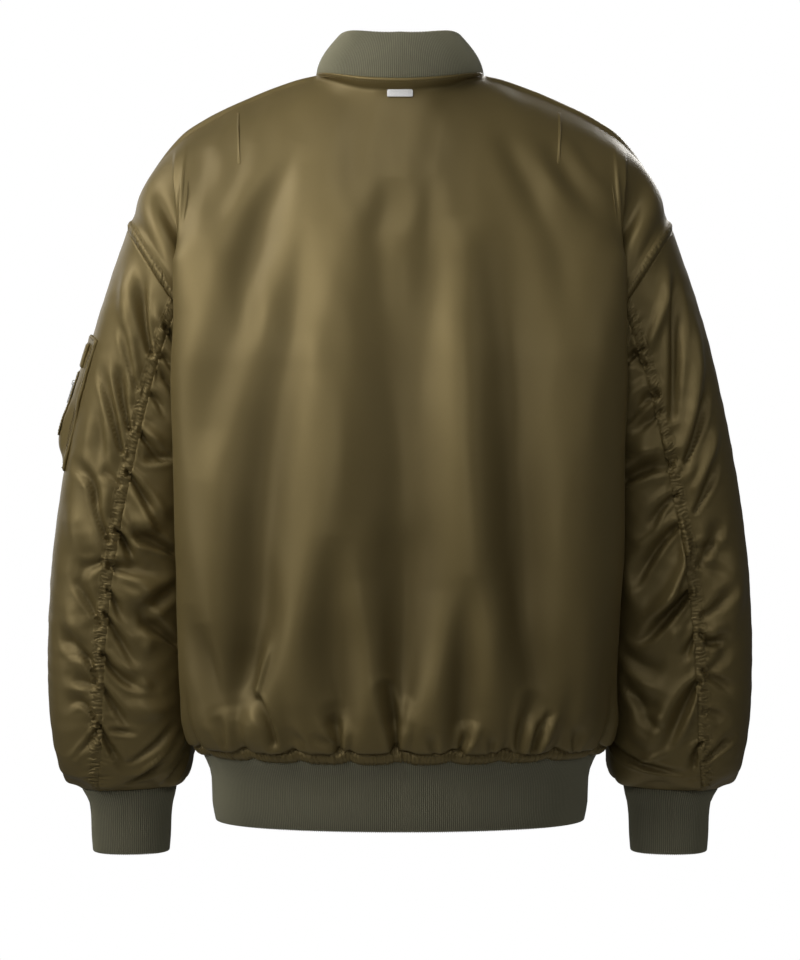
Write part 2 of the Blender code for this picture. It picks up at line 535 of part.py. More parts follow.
def sleeve_push(angles, along):
    """How far the cloth of the sleeve is pushed out: its folds and the gathers at the cuff."""
    turn = np.array([sleeve_angle(np.asarray(angles, float), v) for v in along])
    turn = np.where(np.asarray(angles) < 0, turn + 360.0, turn)
    share = np.broadcast_to(np.asarray(along)[:, None], turn.shape)
    scale = (math.radians(SLEEVE_RADIUS), SLEEVE_LENGTH)
    folds = [sleeve_fold(fold, scale) for fold in SLEEVE_FOLDS]
    push = sum(pushed_by(folds, np.stack([turn + whole, share], axis=-1) * scale) for whole in (0.0, -360.0))
    push = push * smooth(share / 0.12) * smooth((1 - share) / 0.12)
    gathers = np.cos(np.radians(turn) * SLEEVE_GATHERS) * np.exp(-(((share - 0.93) / 0.05) ** 2))
    return push + GATHER_DEPTH * gathers * smooth((1 - share) / 0.09)


def sleeve_grids(rings=RINGS):
    """The outer and the under sleeve on +X: rows from the armhole down. Gives both and the middle line."""
    around = OUTER_ANGLES + UNDER_ANGLES[-2:0:-1]
    rows, middles = zip(*(sleeve_ring(around, v) for v in rings))
    points, middles = np.array(rows), np.array(middles)[:, None]
    points += outward_round(points, middles) * sleeve_push(around, rings)[..., None]
    count = len(OUTER_ANGLES)
    return points[:, :count], np.concatenate([points[:, count - 1:], points[:, :1]], axis=1)[:, ::-1], middles


# ------------------------------------------------------------------ building closed walls
class Cloth:
    """One cut piece: the grid of its outer face, and which way is in. Borders are set when it is sewn."""

    def __init__(self, name, points, inside, wall, colour, closed=False):
        self.name, self.points, self.wall, self.colour, self.closed = name, points, wall, colour, closed
        self.inward = -(outward_round if closed else outward)(points, inside)

    def borders(self):
        """Index of each border of the grid, and of the line of points next to it."""
        found = [((0, slice(None)), (1, slice(None))), ((-1, slice(None)), (-2, slice(None)))]
        if not self.closed:
            found += [((slice(None), 0), (slice(None), 1)), ((slice(None), -1), (slice(None), -2))]
        return found


def sewn(pieces):
    """Gives each piece its inner face. Where pieces meet, both end on one slant, a small gap apart."""
    marks = [(piece, border) for piece in pieces for border, _ in piece.borders()]
    spots = np.concatenate([piece.points[border] for piece, border in marks])
    normals = np.concatenate([piece.inward[border] for piece, border in marks])
    together = np.linalg.norm(spots[:, None] - spots[None], axis=2) < SAME_POINT
    together &= normals @ normals.T > ALIKE
    weighted = normals / together.sum(axis=1, keepdims=True)  # pieces that lie alike count as one
    for piece in pieces:
        outer = piece.points.copy()
        through = piece.inward.copy()
        for border, beside in piece.borders():
            line = piece.points[border]
            near = np.linalg.norm(line[:, None] - spots[None], axis=2) < SAME_POINT
            own = piece.inward[border]
            shared = near.astype(float) @ weighted
            shared /= np.maximum(np.linalg.norm(shared, axis=1, keepdims=True), 1e-9)
            agree = (shared * own).sum(axis=1, keepdims=True)
            aside = shared - agree * own
            aside /= np.maximum(np.linalg.norm(aside, axis=1, keepdims=True), 1e-9)
            sharp = agree < SHARPEST
            slant = np.where(sharp, SHARPEST * own + math.sqrt(1 - SHARPEST**2) * aside, shared)
            if piece.closed:
                tangent = np.roll(line, -1, axis=0) - np.roll(line, 1, axis=0)
            else:
                tangent = np.gradient(line, axis=0)
            parting = np.cross(tangent, slant)
            parting /= np.linalg.norm(parting, axis=1, keepdims=True)
            parting *= np.sign((parting * (piece.points[beside] - line)).sum(axis=1, keepdims=True))
            outer[border] += SEAM_GAP / 2 * (parting + np.where(sharp, own, 0.0))
            through[border] = slant / np.maximum((slant * own).sum(axis=1, keepdims=True), SHARPEST)
        yield piece, outer, outer + through * piece.wall


def make_object(name, points, faces, colour, smooth_angle=45.0):
    mesh = bpy.data.meshes.new(name)
    mesh.from_pydata([tuple(p) for p in points], [], faces)
    mesh.update()
    work = bmesh.new()
    work.from_mesh(mesh)
    bmesh.ops.recalc_face_normals(work, faces=work.faces)
    work.to_mesh(mesh)
    work.free()
    if smooth_angle:
        mesh.shade_smooth()
        mesh.set_sharp_from_angle(angle=math.radians(smooth_angle))
    mesh.materials.append(colour)
    made = bpy.data.objects.new(name, mesh)
    bpy.context.scene.collection.objects.link(made)
    return made


def wall_object(name, outer, inner, colour, closed=False):
    """A closed wall between two grids of the same shape. A closed one joins its last column to its first."""
    rows, columns = outer.shape[:2]
    count = rows * columns
    last = columns if closed else columns - 1

    def at(r, c):
        return r * columns + c % columns

    rims = [[at(r, c) for c in range(last + 1)] for r in (0, rows - 1)]
    if not closed:
        rims += [[at(r, c) for r in range(rows)] for c in (0, columns - 1)]
    faces = []
    for r in range(rows - 1):
        for c in range(last):
            a, b, d, e = at(r, c), at(r, c + 1), at(r + 1, c + 1), at(r + 1, c)
            faces += [(a, b, d), (a, d, e)]
            faces += [(count + b, count + a, count + d), (count + d, count + a, count + e)]
    points = np.concatenate([outer.reshape(-1, 3), inner.reshape(-1, 3)])
    order = points @ RIM_ORDER  # so that the two rims of a seam are split along the same diagonals
    for rim in rims:
        for a, b in zip(rim, rim[1:]):
            first, second = (a, b) if order[a] < order[b] else (b, a)
            faces += [(first, second, count + second), (first, count + second, count + first)]
    return make_object(name, points, faces, colour)


def material(name, colour, roughness, metallic=0.0):
    made = bpy.data.materials.new(name)
    made.use_nodes = True
    shader = made.node_tree.nodes["Principled BSDF"]
    shader.inputs["Base Color"].default_value = (*colour, 1.0)
    shader.inputs["Roughness"].default_value = roughness
    shader.inputs["Metallic"].default_value = metallic
    made.diffuse_color = (*colour, 1.0)
    return made


# ------------------------------------------------------------------ the zips
def prism(name, frame, outline, half_width, colour):
    """An outline of (out, along) points, swept half_width to each side. frame: origin, side, out, along."""
    origin, side, out, along = frame
    flat = np.array([origin + o * out + a * along for o, a in outline])
    points = np.concatenate([flat - side * half_width, flat + side * half_width])
    n = len(outline)
    faces = [tuple(range(n)), tuple(range(2 * n - 1, n - 1, -1))]
    faces += [(i, (i + 1) % n, n + (i + 1) % n, n + i) for i in range(n)]
    return make_object(name, points, faces, colour, 0.0)


def joined(body, other, operation="UNION"):
    """Adds one solid to another, or cuts it out."""
    cut = body.modifiers.new(operation, "BOOLEAN")
    cut.operation = operation
    cut.solver = "EXACT"
    cut.object = other
    graph = bpy.context.evaluated_depsgraph_get()
    mesh = bpy.data.meshes.new_from_object(body.evaluated_get(graph))
    body.modifiers.clear()
    body.data = mesh
    bpy.data.objects.remove(other)
    return body


def zip_slider(name, frame, size, colour):
    """A slider: a front plate with a flange down each side, and a bridge that holds the pull tab."""
    w, length = SLIDER["half_width"] * size, SLIDER["half_length"] * size
    top, skirt, edge = SLIDER["plate"] * size, SLIDER["skirt"] * size, w - SLIDER["flange"] * size
    channel = [(top, -w), (top, w), (-skirt, w), (-skirt, edge)]
    channel += [(0.0, edge), (0.0, -edge), (-skirt, -edge), (-skirt, -w)]
    origin, side, out, along = frame
    plate = prism(name, (origin, along, out, side), channel, length, colour)
    b, h, t = (SLIDER[key] * size for key in ("bridge_half", "bridge_height", "bridge_wall"))
    arch = [(top / 2, -b - t), (top + h, -b - t), (top + h + t, -b), (top + h + t, b), (top + h, b + t)]
    arch += [(top / 2, b + t), (top / 2, b), (top + h, b), (top + h, -b), (top / 2, -b)]
    return joined(plate, prism("bridge", frame, arch, SLIDER["bridge_width"] * size, colour))


def pull_tab(name, frame, size, colour):
    """A pull tab that hangs from its cross bar. Its origin is on the axis it swings about."""
    origin, side, out, along = frame
    top = (SLIDER["plate"] + SLIDER["axis_height"]) * size
    hinge = origin + out * top
    frame = (hinge, side, out, along)
    t, bar = PULL["thick"] * size / 2, PULL["bar"] * size
    length, w = PULL["length"] * size, PULL["half_width"] * size
    tab = prism(name, frame, [(-t, bar), (t, bar), (t, -length), (-t, -length)], w, colour)
    hole = [(-0.01, -bar), (0.01, -bar), (0.01, -PULL["window"] * size), (-0.01, -PULL["window"] * size)]
    tab = joined(tab, prism("window", frame, hole, PULL["window_half"] * size, colour), "DIFFERENCE")
    tab.data.transform(Matrix.Translation(-Vector(hinge)))
    tab.location = hinge
    return tab


# ------------------------------------------------------------------ the jacket
def rows_above_underarm(side):
    """The armhole angles at which the rows of a body panel end, from the underarm up to the tip."""
    if side > 0:
        return [a for a in UNDER_ANGLES if a <= 180.0][::-1] + [a for a in OUTER_ANGLES[1:] if a >= 0.0]
    return [360.0 - a for a in UNDER_ANGLES if a >= 180.0] + [-a for a in OUTER_ANGLES[:-1] if a <= 0.0][::-1]


def back_panel():
    angles = rows_above_underarm(1)
    left, right = (pushed_half(1, angles, hand) for hand in (1, -1))
    return np.concatenate([right[:, :0:-1], left], axis=1)


def band_ring(z, grow):
    """A ring of the rib band from the left front edge round the back to the right front edge."""
    shares = np.array(SHARES)
    front = shares.copy()
    front[0] = FRONT_EDGE_SHARE
    left_front = torso_arc(HEM_Z, -1, front)
    left_back = torso_arc(HEM_Z, 1, shares)
    left_front[0, 0] = ZIP_HALF
    half = np.concatenate([left_front[:-1], left_back[::-1]])
    ring = np.concatenate([half[:-1], half[::-1] * FLIP])
    front_wave, back_wave = hem_wave(-1, front), hem_wave(1, shares)
    lift = np.concatenate([front_wave[:-1], back_wave[::-1][:-1], back_wave, front_wave[::-1][1:]])
    normal = outward(np.array([ring, ring - [0, 0, 0.01]]), np.array([0.0, 0.0, HEM_Z]))[0]
    normal[[0, -1], 0] = 0.0
    ring = ring + normal * grow
    ring[:, 2] = z + lift * max(0.0, 1 - (HEM_Z - z) / 0.03)
    return ring


def collar_grid():
    """From the left front end round the back to the right front end, and from the seam up."""
    turns = [90.0 * s / NECK_SHARE for s in SHARES if s <= NECK_SHARE]
    front = [180.0 - t for t in turns[1:-1]]
    front += [180.0 - 90.0 * FRONT_EDGE_SHARE / NECK_SHARE, COLLAR_END_ANGLE]
    angles = np.array(sorted(front, reverse=True) + turns[::-1])
    angles = np.concatenate([angles[:-1], -angles[::-1]])
    seam = neck_point(angles)
    height = spline(COLLAR["angle"], COLLAR["height"], np.abs(angles))
    lean = spline(COLLAR["angle"], COLLAR["lean"], np.abs(angles))
    out = seam * [1, 1, 0]
    out[:, 1] += 0.008
    out /= np.linalg.norm(out, axis=1, keepdims=True)
    rows = []
    for up in COLLAR_LEVELS:
        bow = COLLAR_BOW * math.sin(math.pi * up)
        rise = np.array([0.0, 0.0, 1.0]) * (height * up)[:, None]
        rows.append(seam + rise + out * (bow - lean * up**1.2)[:, None])
    return np.array(rows)


def cuff_grid(sleeve_end):
    """Rings of a cuff under the sleeve's last ring."""
    angles = np.radians(ring_angles_at(1.0))
    rows = [sleeve_end]
    for z, half_x, half_y in list(zip(CUFF["z"], CUFF["half_x"], CUFF["half_y"]))[1:]:
        x = CUFF_MIDDLE_X + half_x * np.cos(angles)
        y = CUFF_MIDDLE_Y + half_y * np.sin(angles)
        rows.append(np.column_stack([x, y, np.full(len(angles), z)]))
    return np.array(rows)


def ring_angles_at(along):
    """The whole ring's angles where the outer sleeve and the under sleeve both end."""
    around = OUTER_ANGLES[::-1] + UNDER_ANGLES[1:-1]
    return sleeve_angle(np.array(around), along)


def build_shell(nylon, rib):
    """The cut pieces of cloth, sewn. Gives the outer and inner face of each."""
    inside = np.array([0.0, 0.0, -0.35])
    neck = np.array([0.0, -0.008, 0.0])
    back = back_panel()
    pieces = [Cloth("back_panel", back, inside, WALL, nylon)]
    front = pushed_half(-1, rows_above_underarm(-1), 1)
    pieces.append(Cloth("front_left", front, inside, WALL, nylon))
    pieces.append(Cloth("front_right", front * FLIP, inside, WALL, nylon))
    band = np.array([band_ring(z, grow) for z, grow in zip(HEM_BAND["z"], HEM_BAND["grow"])])
    pieces.append(Cloth("hem_band", band, inside * [1, 1, 2], RIB_WALL, rib))
    pieces.append(Cloth("collar", collar_grid(), neck, RIB_WALL, rib))
    outer, under, middle = sleeve_grids()
    cuff = cuff_grid(np.concatenate([outer[-1][::-1], under[-1][1:-1]]))
    wrist = np.array([CUFF_MIDDLE_X, CUFF_MIDDLE_Y, -0.74])
    for side, flip in (("left", np.ones(3)), ("right", FLIP)):
        pieces.append(Cloth(f"sleeve_{side}_outer", outer * flip, middle * flip, WALL, nylon))
        pieces.append(Cloth(f"sleeve_{side}_under", under * flip, middle * flip, WALL, nylon))
        pieces.append(Cloth(f"cuff_{side}", cuff * flip, wrist * flip, RIB_WALL, rib, closed=True))
    walls = {}
    for piece, face, lining in sewn(pieces):
        wall_object(piece.name, face, lining, piece.colour, piece.closed)
        walls[piece.name] = (face, lining)
    return walls


def zip_line(walls):
    """The left front edge from the bottom of the rib band to the collar, and the way in from each point."""
    face, lining = walls["front_left"]
    band, band_lining = walls["hem_band"]
    edge = np.concatenate([band[:0:-1, 0], face[:, 0]])
    inner = np.concatenate([band_lining[:0:-1, 0], lining[:, 0]])
    edge[-1, 2] -= 0.0008
    inward = (inner - edge) * [0, 1, 1]
    return edge, inward / np.linalg.norm(inward, axis=1, keepdims=True)


def strip(name, edge, inward, xs, depth, wall, colour):
    """A strip that follows the zip between these two x, at a depth below the front's face."""
    grid = np.stack([edge * [0, 1, 1] + [x, 0, 0] for x in xs], axis=1) + depth * inward[:, None]
    return wall_object(name, grid, grid + wall * inward[:, None], colour)


def frame_on(points, side, at):
    """A frame for zip hardware on a line of points going up: origin, side, out, along."""
    along = points[at + 1] - points[at]
    along = along / np.linalg.norm(along)
    side = side - along * (side @ along)
    side = side / np.linalg.norm(side)
    return side, np.cross(along, side), along


def build_front_zip(walls, tape, metal):
    edge, inward = zip_line(walls)
    gap = SEAM_GAP
    for side, hand in (("left", 1), ("right", -1)):
        xs = (hand * (CHAIN_HALF + gap), hand * (ZIP_HALF - gap))
        strip(f"zip_tape_{side}", edge, inward, xs, ZIP_SINK, TAPE_WALL, tape)
    strip("zip_chain", edge[1:], inward[1:], (-CHAIN_HALF, CHAIN_HALF), ZIP_SINK - 0.0006, CHAIN_WALL, metal)
    at = len(edge) - 3
    side, out, along = frame_on(edge, np.array([-1.0, 0.0, 0.0]), at)
    place = edge[at] * [0, 1, 1] + along * 0.012
    place = place + out * (SLIDER_CLEAR - ZIP_SINK + 0.0006)
    frame = (place, side, out, along)
    zip_slider("zip_slider", frame, 1.0, metal)
    pull_tab("zip_pull", frame, 1.0, metal)


def build_sleeve_pocket(walls, nylon, tape, metal):
    """A patch on the left outer sleeve, full lower down, with a zip along it and a short tab above."""
    face, lining = walls["sleeve_left_outer"]
    rows = [i for i, v in enumerate(RINGS) if POCKET["rings"][0] <= v <= POCKET["rings"][1]]
    columns = [i for i, a in enumerate(OUTER_ANGLES) if POCKET["angles"][0] <= a <= POCKET["angles"][1]]
    pick = np.ix_(rows, columns)
    out = (face[pick] - lining[pick]) / WALL
    out /= np.linalg.norm(out, axis=2, keepdims=True)
    fullness = np.array(POCKET["fullness"])[:, None] * np.array(POCKET["across"])[None]
    inner = face[pick] + out * (SEAM_GAP + fullness[..., None])
    outer = inner + out * POCKET["wall"]
    wall_object("sleeve_pocket", outer, inner, nylon)

    def at(r, c):
        """A point on the patch and its way out, between its points."""
        i, j = min(int(r), len(rows) - 2), min(int(c), len(columns) - 2)
        u, v = r - i, c - j
        parts = [(1 - u) * (1 - v), (1 - u) * v, u * (1 - v), u * v]
        spots = [(i, j), (i, j + 1), (i + 1, j), (i + 1, j + 1)]
        normal = sum(p * out[s] for p, s in zip(parts, spots))
        return sum(p * outer[s] for p, s in zip(parts, spots)), normal / np.linalg.norm(normal)

    def band(name, down, middle, half, depth, wall, colour):
        grid = np.array([[at(r, c) for c in (middle - half, middle + half)] for r in down])
        low = grid[:, :, 0] + grid[:, :, 1] * depth
        wall_object(name, low + grid[:, :, 1] * wall, low, colour)

    middle, zip_rows = POCKET["zip_column"], POCKET["zip_rows"]
    band("pocket_zip_tape", zip_rows, middle, POCKET["tape_half"], LIE_CLEAR, TAPE_WALL, tape)
    depth = LIE_CLEAR + TAPE_WALL + SEAM_GAP
    band("pocket_zip_chain", zip_rows, middle, POCKET["chain_half"], depth, POCKET_CHAIN_WALL, metal)
    upper, out_up = at(POCKET["slider_row"] - 0.3, middle)
    lower, _ = at(POCKET["slider_row"] + 0.3, middle)
    place, normal = at(POCKET["slider_row"], middle)
    side, out_dir, along = frame_on(np.array([lower, upper]), np.cross(normal, upper - lower), 0)
    place = place + normal * (depth + POCKET_CHAIN_WALL + SLIDER_CLEAR)
    frame = (place, -side, np.cross(along, -side), along)
    if (np.cross(along, -side) @ normal) < 0:
        frame = (place, side, np.cross(along, side), along)
    zip_slider("pocket_zip_slider", frame, POCKET["zip_size"], metal)
    pull_tab("pocket_zip_pull", frame, POCKET["zip_size"], metal)
    band("pen_tab", POCKET["tab_rows"], POCKET["tab_column"], POCKET["tab_half"], LIE_CLEAR, TAB_WALL, nylon)


def build_plate(walls, metal):
    """The blank plate below the collar, arched with the back."""
    face, _ = walls["back_panel"]
    corners = [tuple(p) for p in face.reshape(-1, 3)]
    columns = face.shape[1]
    quads = []
    for r in range(face.shape[0] - 1):
        for c in range(columns - 1):
            a, e = r * columns + c, (r + 1) * columns + c
            quads += [(a, a + 1, e + 1), (a, e + 1, e)]
    surface = BVHTree.FromPolygons(corners, quads)
    xs = np.linspace(-PLATE["half_width"], PLATE["half_width"], 9)
    grid = []
    for up in (0.0, 1.0):
        row = []
        for x in xs:
            rise = PLATE["arch"] * (1 - (x / PLATE["half_width"]) ** 2)
            trim = PLATE["corner"] if abs(x) == PLATE["half_width"] else 0.0
            z = PLATE["z"] + rise + (up - 0.5) * (PLATE["height"] - 2 * trim)
            hit, _, _, _ = surface.ray_cast(Vector((x, 0.3, z)), Vector((0, -1, 0)))
            row.append((x, hit.y, z))
        grid.append(row)
    grid = np.array(grid)
    lift = np.array([0.0, 1.0, 0.5]) / math.sqrt(1.25)
    low = grid + lift * PLATE["clear"]
    wall_object("neck_plate", low + lift * PLATE["thick"], low, metal)


def main():
    for thing in list(bpy.data.objects):
        bpy.data.objects.remove(thing)
    nylon = material("olive nylon", (0.135, 0.110, 0.055), 0.42)
    rib = material("olive rib knit", (0.085, 0.080, 0.055), 0.90)
    tape = material("olive zip tape", (0.060, 0.052, 0.030), 0.80)
    metal = material("zip metal", (0.55, 0.55, 0.54), 0.35, 1.0)
    polished = material("polished plate", (0.85, 0.85, 0.84), 0.18, 1.0)
    walls = build_shell(nylon, rib)
    build_front_zip(walls, tape, metal)
    build_sleeve_pocket(walls, nylon, tape, metal)
    build_plate(walls, polished)


main()
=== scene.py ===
import math

import bmesh
import bpy
import numpy as np
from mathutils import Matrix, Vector
from mathutils.bvhtree import BVHTree


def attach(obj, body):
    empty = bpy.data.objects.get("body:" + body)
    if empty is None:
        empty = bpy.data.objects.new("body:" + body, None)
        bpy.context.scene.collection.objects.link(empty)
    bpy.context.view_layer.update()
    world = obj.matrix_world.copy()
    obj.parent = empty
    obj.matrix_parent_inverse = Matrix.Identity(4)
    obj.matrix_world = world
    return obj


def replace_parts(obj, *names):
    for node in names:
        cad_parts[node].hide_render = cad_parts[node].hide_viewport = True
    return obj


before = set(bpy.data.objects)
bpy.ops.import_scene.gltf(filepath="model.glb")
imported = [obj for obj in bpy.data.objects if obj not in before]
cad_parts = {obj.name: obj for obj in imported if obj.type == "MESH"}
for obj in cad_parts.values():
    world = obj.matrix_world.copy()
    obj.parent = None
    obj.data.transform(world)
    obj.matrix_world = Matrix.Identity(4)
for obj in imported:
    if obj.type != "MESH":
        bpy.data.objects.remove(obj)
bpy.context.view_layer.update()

# ---- driving sizes, as in the solids
WALL = 0.0024
RIB_WALL = 0.0028
FLIP = np.array([-1.0, 1.0, 1.0])
HEM_Z = -0.664
HEM_BOTTOM_Z = -0.732
UNDERARM_Z = -0.291
CUFF_BOTTOM_Z = -0.7705
SHOULDER_TIP = np.array([0.27, 0.0, -0.15])
UNDERARM = np.array([0.175, 0.0, UNDERARM_Z])
ARMHOLE_HALF_DEPTH = 0.088
NECK_HALF_WIDTH = 0.083
NECK_BACK = (0.072, -0.011)
NECK_FRONT = (-0.088, -0.078)
NECK_SIDE = (-0.006, 0.004)
SHOULDER_SEAM = {"y": -0.012, "reached": 0.05, "leaves": 0.225}  # it lies this far back between neck and tip
ZIP_HALF = 0.009
FRONT_EDGE_SHARE = 0.01657
BODY_MIDDLE = np.array([0.0, 0.0, -0.35])

TORSO = {
    "z":            (HEM_Z, -0.656, -0.64, -0.61, -0.56, -0.48, -0.38, UNDERARM_Z),
    "back_y":       (0.1515, 0.158, 0.1655, 0.1715, 0.175, 0.176, 0.172, 0.164),
    "back_lobe_x":  (0.1965, 0.2035, 0.209, 0.2115, 0.214, 0.215, 0.215, 0.215),
    "back_lobe_y":  (0.035, 0.045, 0.058, 0.07, 0.08, 0.088, 0.097, 0.106),
    "side_x":       (0.19, 0.1915, 0.193, 0.194, 0.193, 0.19, 0.182, 0.175),
    "front_lobe_x": (0.1965, 0.2025, 0.207, 0.2095, 0.2115, 0.212, 0.211, 0.209),
    "front_lobe_y": (-0.035, -0.045, -0.058, -0.07, -0.078, -0.084, -0.092, -0.1),
    "front_y":      (-0.1465, -0.1525, -0.1595, -0.1645, -0.167, -0.167, -0.161, -0.15),
}
RING_ROUNDNESS = 0.6
LOBE_ROUNDNESS = 0.12
SIDE_FLATNESS = 0.74
SHOULDER_LINE = {
    "x": (0.083, 0.105, 0.129, 0.163, 0.196, 0.22, 0.241, 0.257, 0.27),
    "z": (0.004, -0.001, -0.009, -0.0235, -0.04, -0.057, -0.084, -0.115, -0.15),
}
NECK_SHARE = 0.24
NECK_CORNER = 0.14  # how far the corner between the neck and the shoulder seam spreads below them
NECK_CORNER_REACH = 0.14  # how near the neck, in shares of the rise, that corner first shows
CHEST_RISE = 0.33
SLOPE_STEP = 0.002
LOBE_SHARE = 0.7
RISE = {
    "share": (0.0, 0.24, 0.55, 0.72, 0.82, 1.0),
    "back": (0.27, 0.3, 0.29, 0.3, 0.22, 0.14),
    "front": (0.2, 0.3, 0.29, 0.3, 0.22, 0.14),
}
ARRIVE_BACK = {
    "share": (0.0, 0.24, 0.55, 0.72, 0.82, 1.0),
    "y": (-0.13, -0.2, -0.22, -0.23, -0.16, -0.12),
    "z": (0.13, 0.03, -0.01, -0.01, -0.02, -0.01),
}
ARRIVE_FRONT = {
    "share": (0.0, 0.24, 0.55, 0.72, 0.82, 1.0),
    "y": (0.06, 0.2, 0.21, 0.22, 0.16, 0.12),
    "z": (0.12, 0.09, 0.05, 0.03, 0.01, 0.01),
}
SLEEVE = {
    "outer_x": (0.27, 0.2925, 0.3115, 0.327, 0.339, 0.347, 0.3502, 0.3487, 0.3432, 0.3345, 0.3175),
    "outer_z": (-0.15, -0.218, -0.288, -0.358, -0.428, -0.498, -0.568, -0.63, -0.672, -0.696, -0.7085),
    "inner_x": (0.175, 0.1845, 0.1925, 0.1975, 0.2005, 0.2025, 0.2045, 0.2062, 0.207, 0.2115, 0.224),
    "inner_z": (-0.291, -0.327, -0.376, -0.426, -0.476, -0.531, -0.586, -0.635, -0.672, -0.696, -0.705),
    "half_y": (0.088, 0.0865, 0.085, 0.083, 0.0805, 0.078, 0.0755, 0.072, 0.066, 0.055, 0.04),
    "middle_y": (0.0, -0.002, -0.004, -0.006, -0.008, -0.01, -0.012, -0.013, -0.014, -0.014, -0.014),
}
SLEEVE_SEAMS = {
    "along": (0.0, 0.25, 0.5, 0.75, 1.0),
    "back": (99.0, 93.0, 84.0, 77.0, 62.0),
    "front": (235.0, 240.0, 244.0, 248.0, 250.0),
}
ARMHOLE_BACK, ARMHOLE_FRONT = SLEEVE_SEAMS["back"][0], SLEEVE_SEAMS["front"][0]
SLEEVE_WIDTHS = {"outer": 0.313, "under": 0.19}
SLEEVE_SQUARENESS = 0.75  # how much flatter the sleeves lie, before and behind, than a plain oval
SLEEVE_RADIUS = 0.08
SLEEVE_LENGTH = 0.57
CUFF = {
    "z": (-0.7083, -0.72, -0.732, -0.756, CUFF_BOTTOM_Z),
    "half_x": (0.044, 0.0415, 0.04, 0.039, 0.0378),
    "half_y": (0.0385, 0.0368, 0.0357, 0.035, 0.0342),
}
CUFF_MIDDLE_X = 0.269
CUFF_MIDDLE_Y = -0.014
CUFF_FLARE = 0.016
HEM_BAND = {
    "z": (HEM_Z, -0.6725, -0.683, -0.7, -0.715, HEM_BOTTOM_Z),
    "grow": (0.0, -0.0044, -0.0086, -0.0103, -0.0108, -0.014),
}
COLLAR = {
    "angle":  (0.0, 45.0, 90.0, 130.0, 155.0, 168.0, 180.0),
    "height": (0.0485, 0.0455, 0.0365, 0.038, 0.04, 0.033, 0.017),
    "lean":   (0.015, 0.019, 0.0215, 0.014, 0.008, 0.005, 0.002),
}
COLLAR_END_ANGLE = 179.0
COLLAR_BOW = 0.003
RIB_ROLL = 0.0014  # the fold at the lower end of a band or cuff

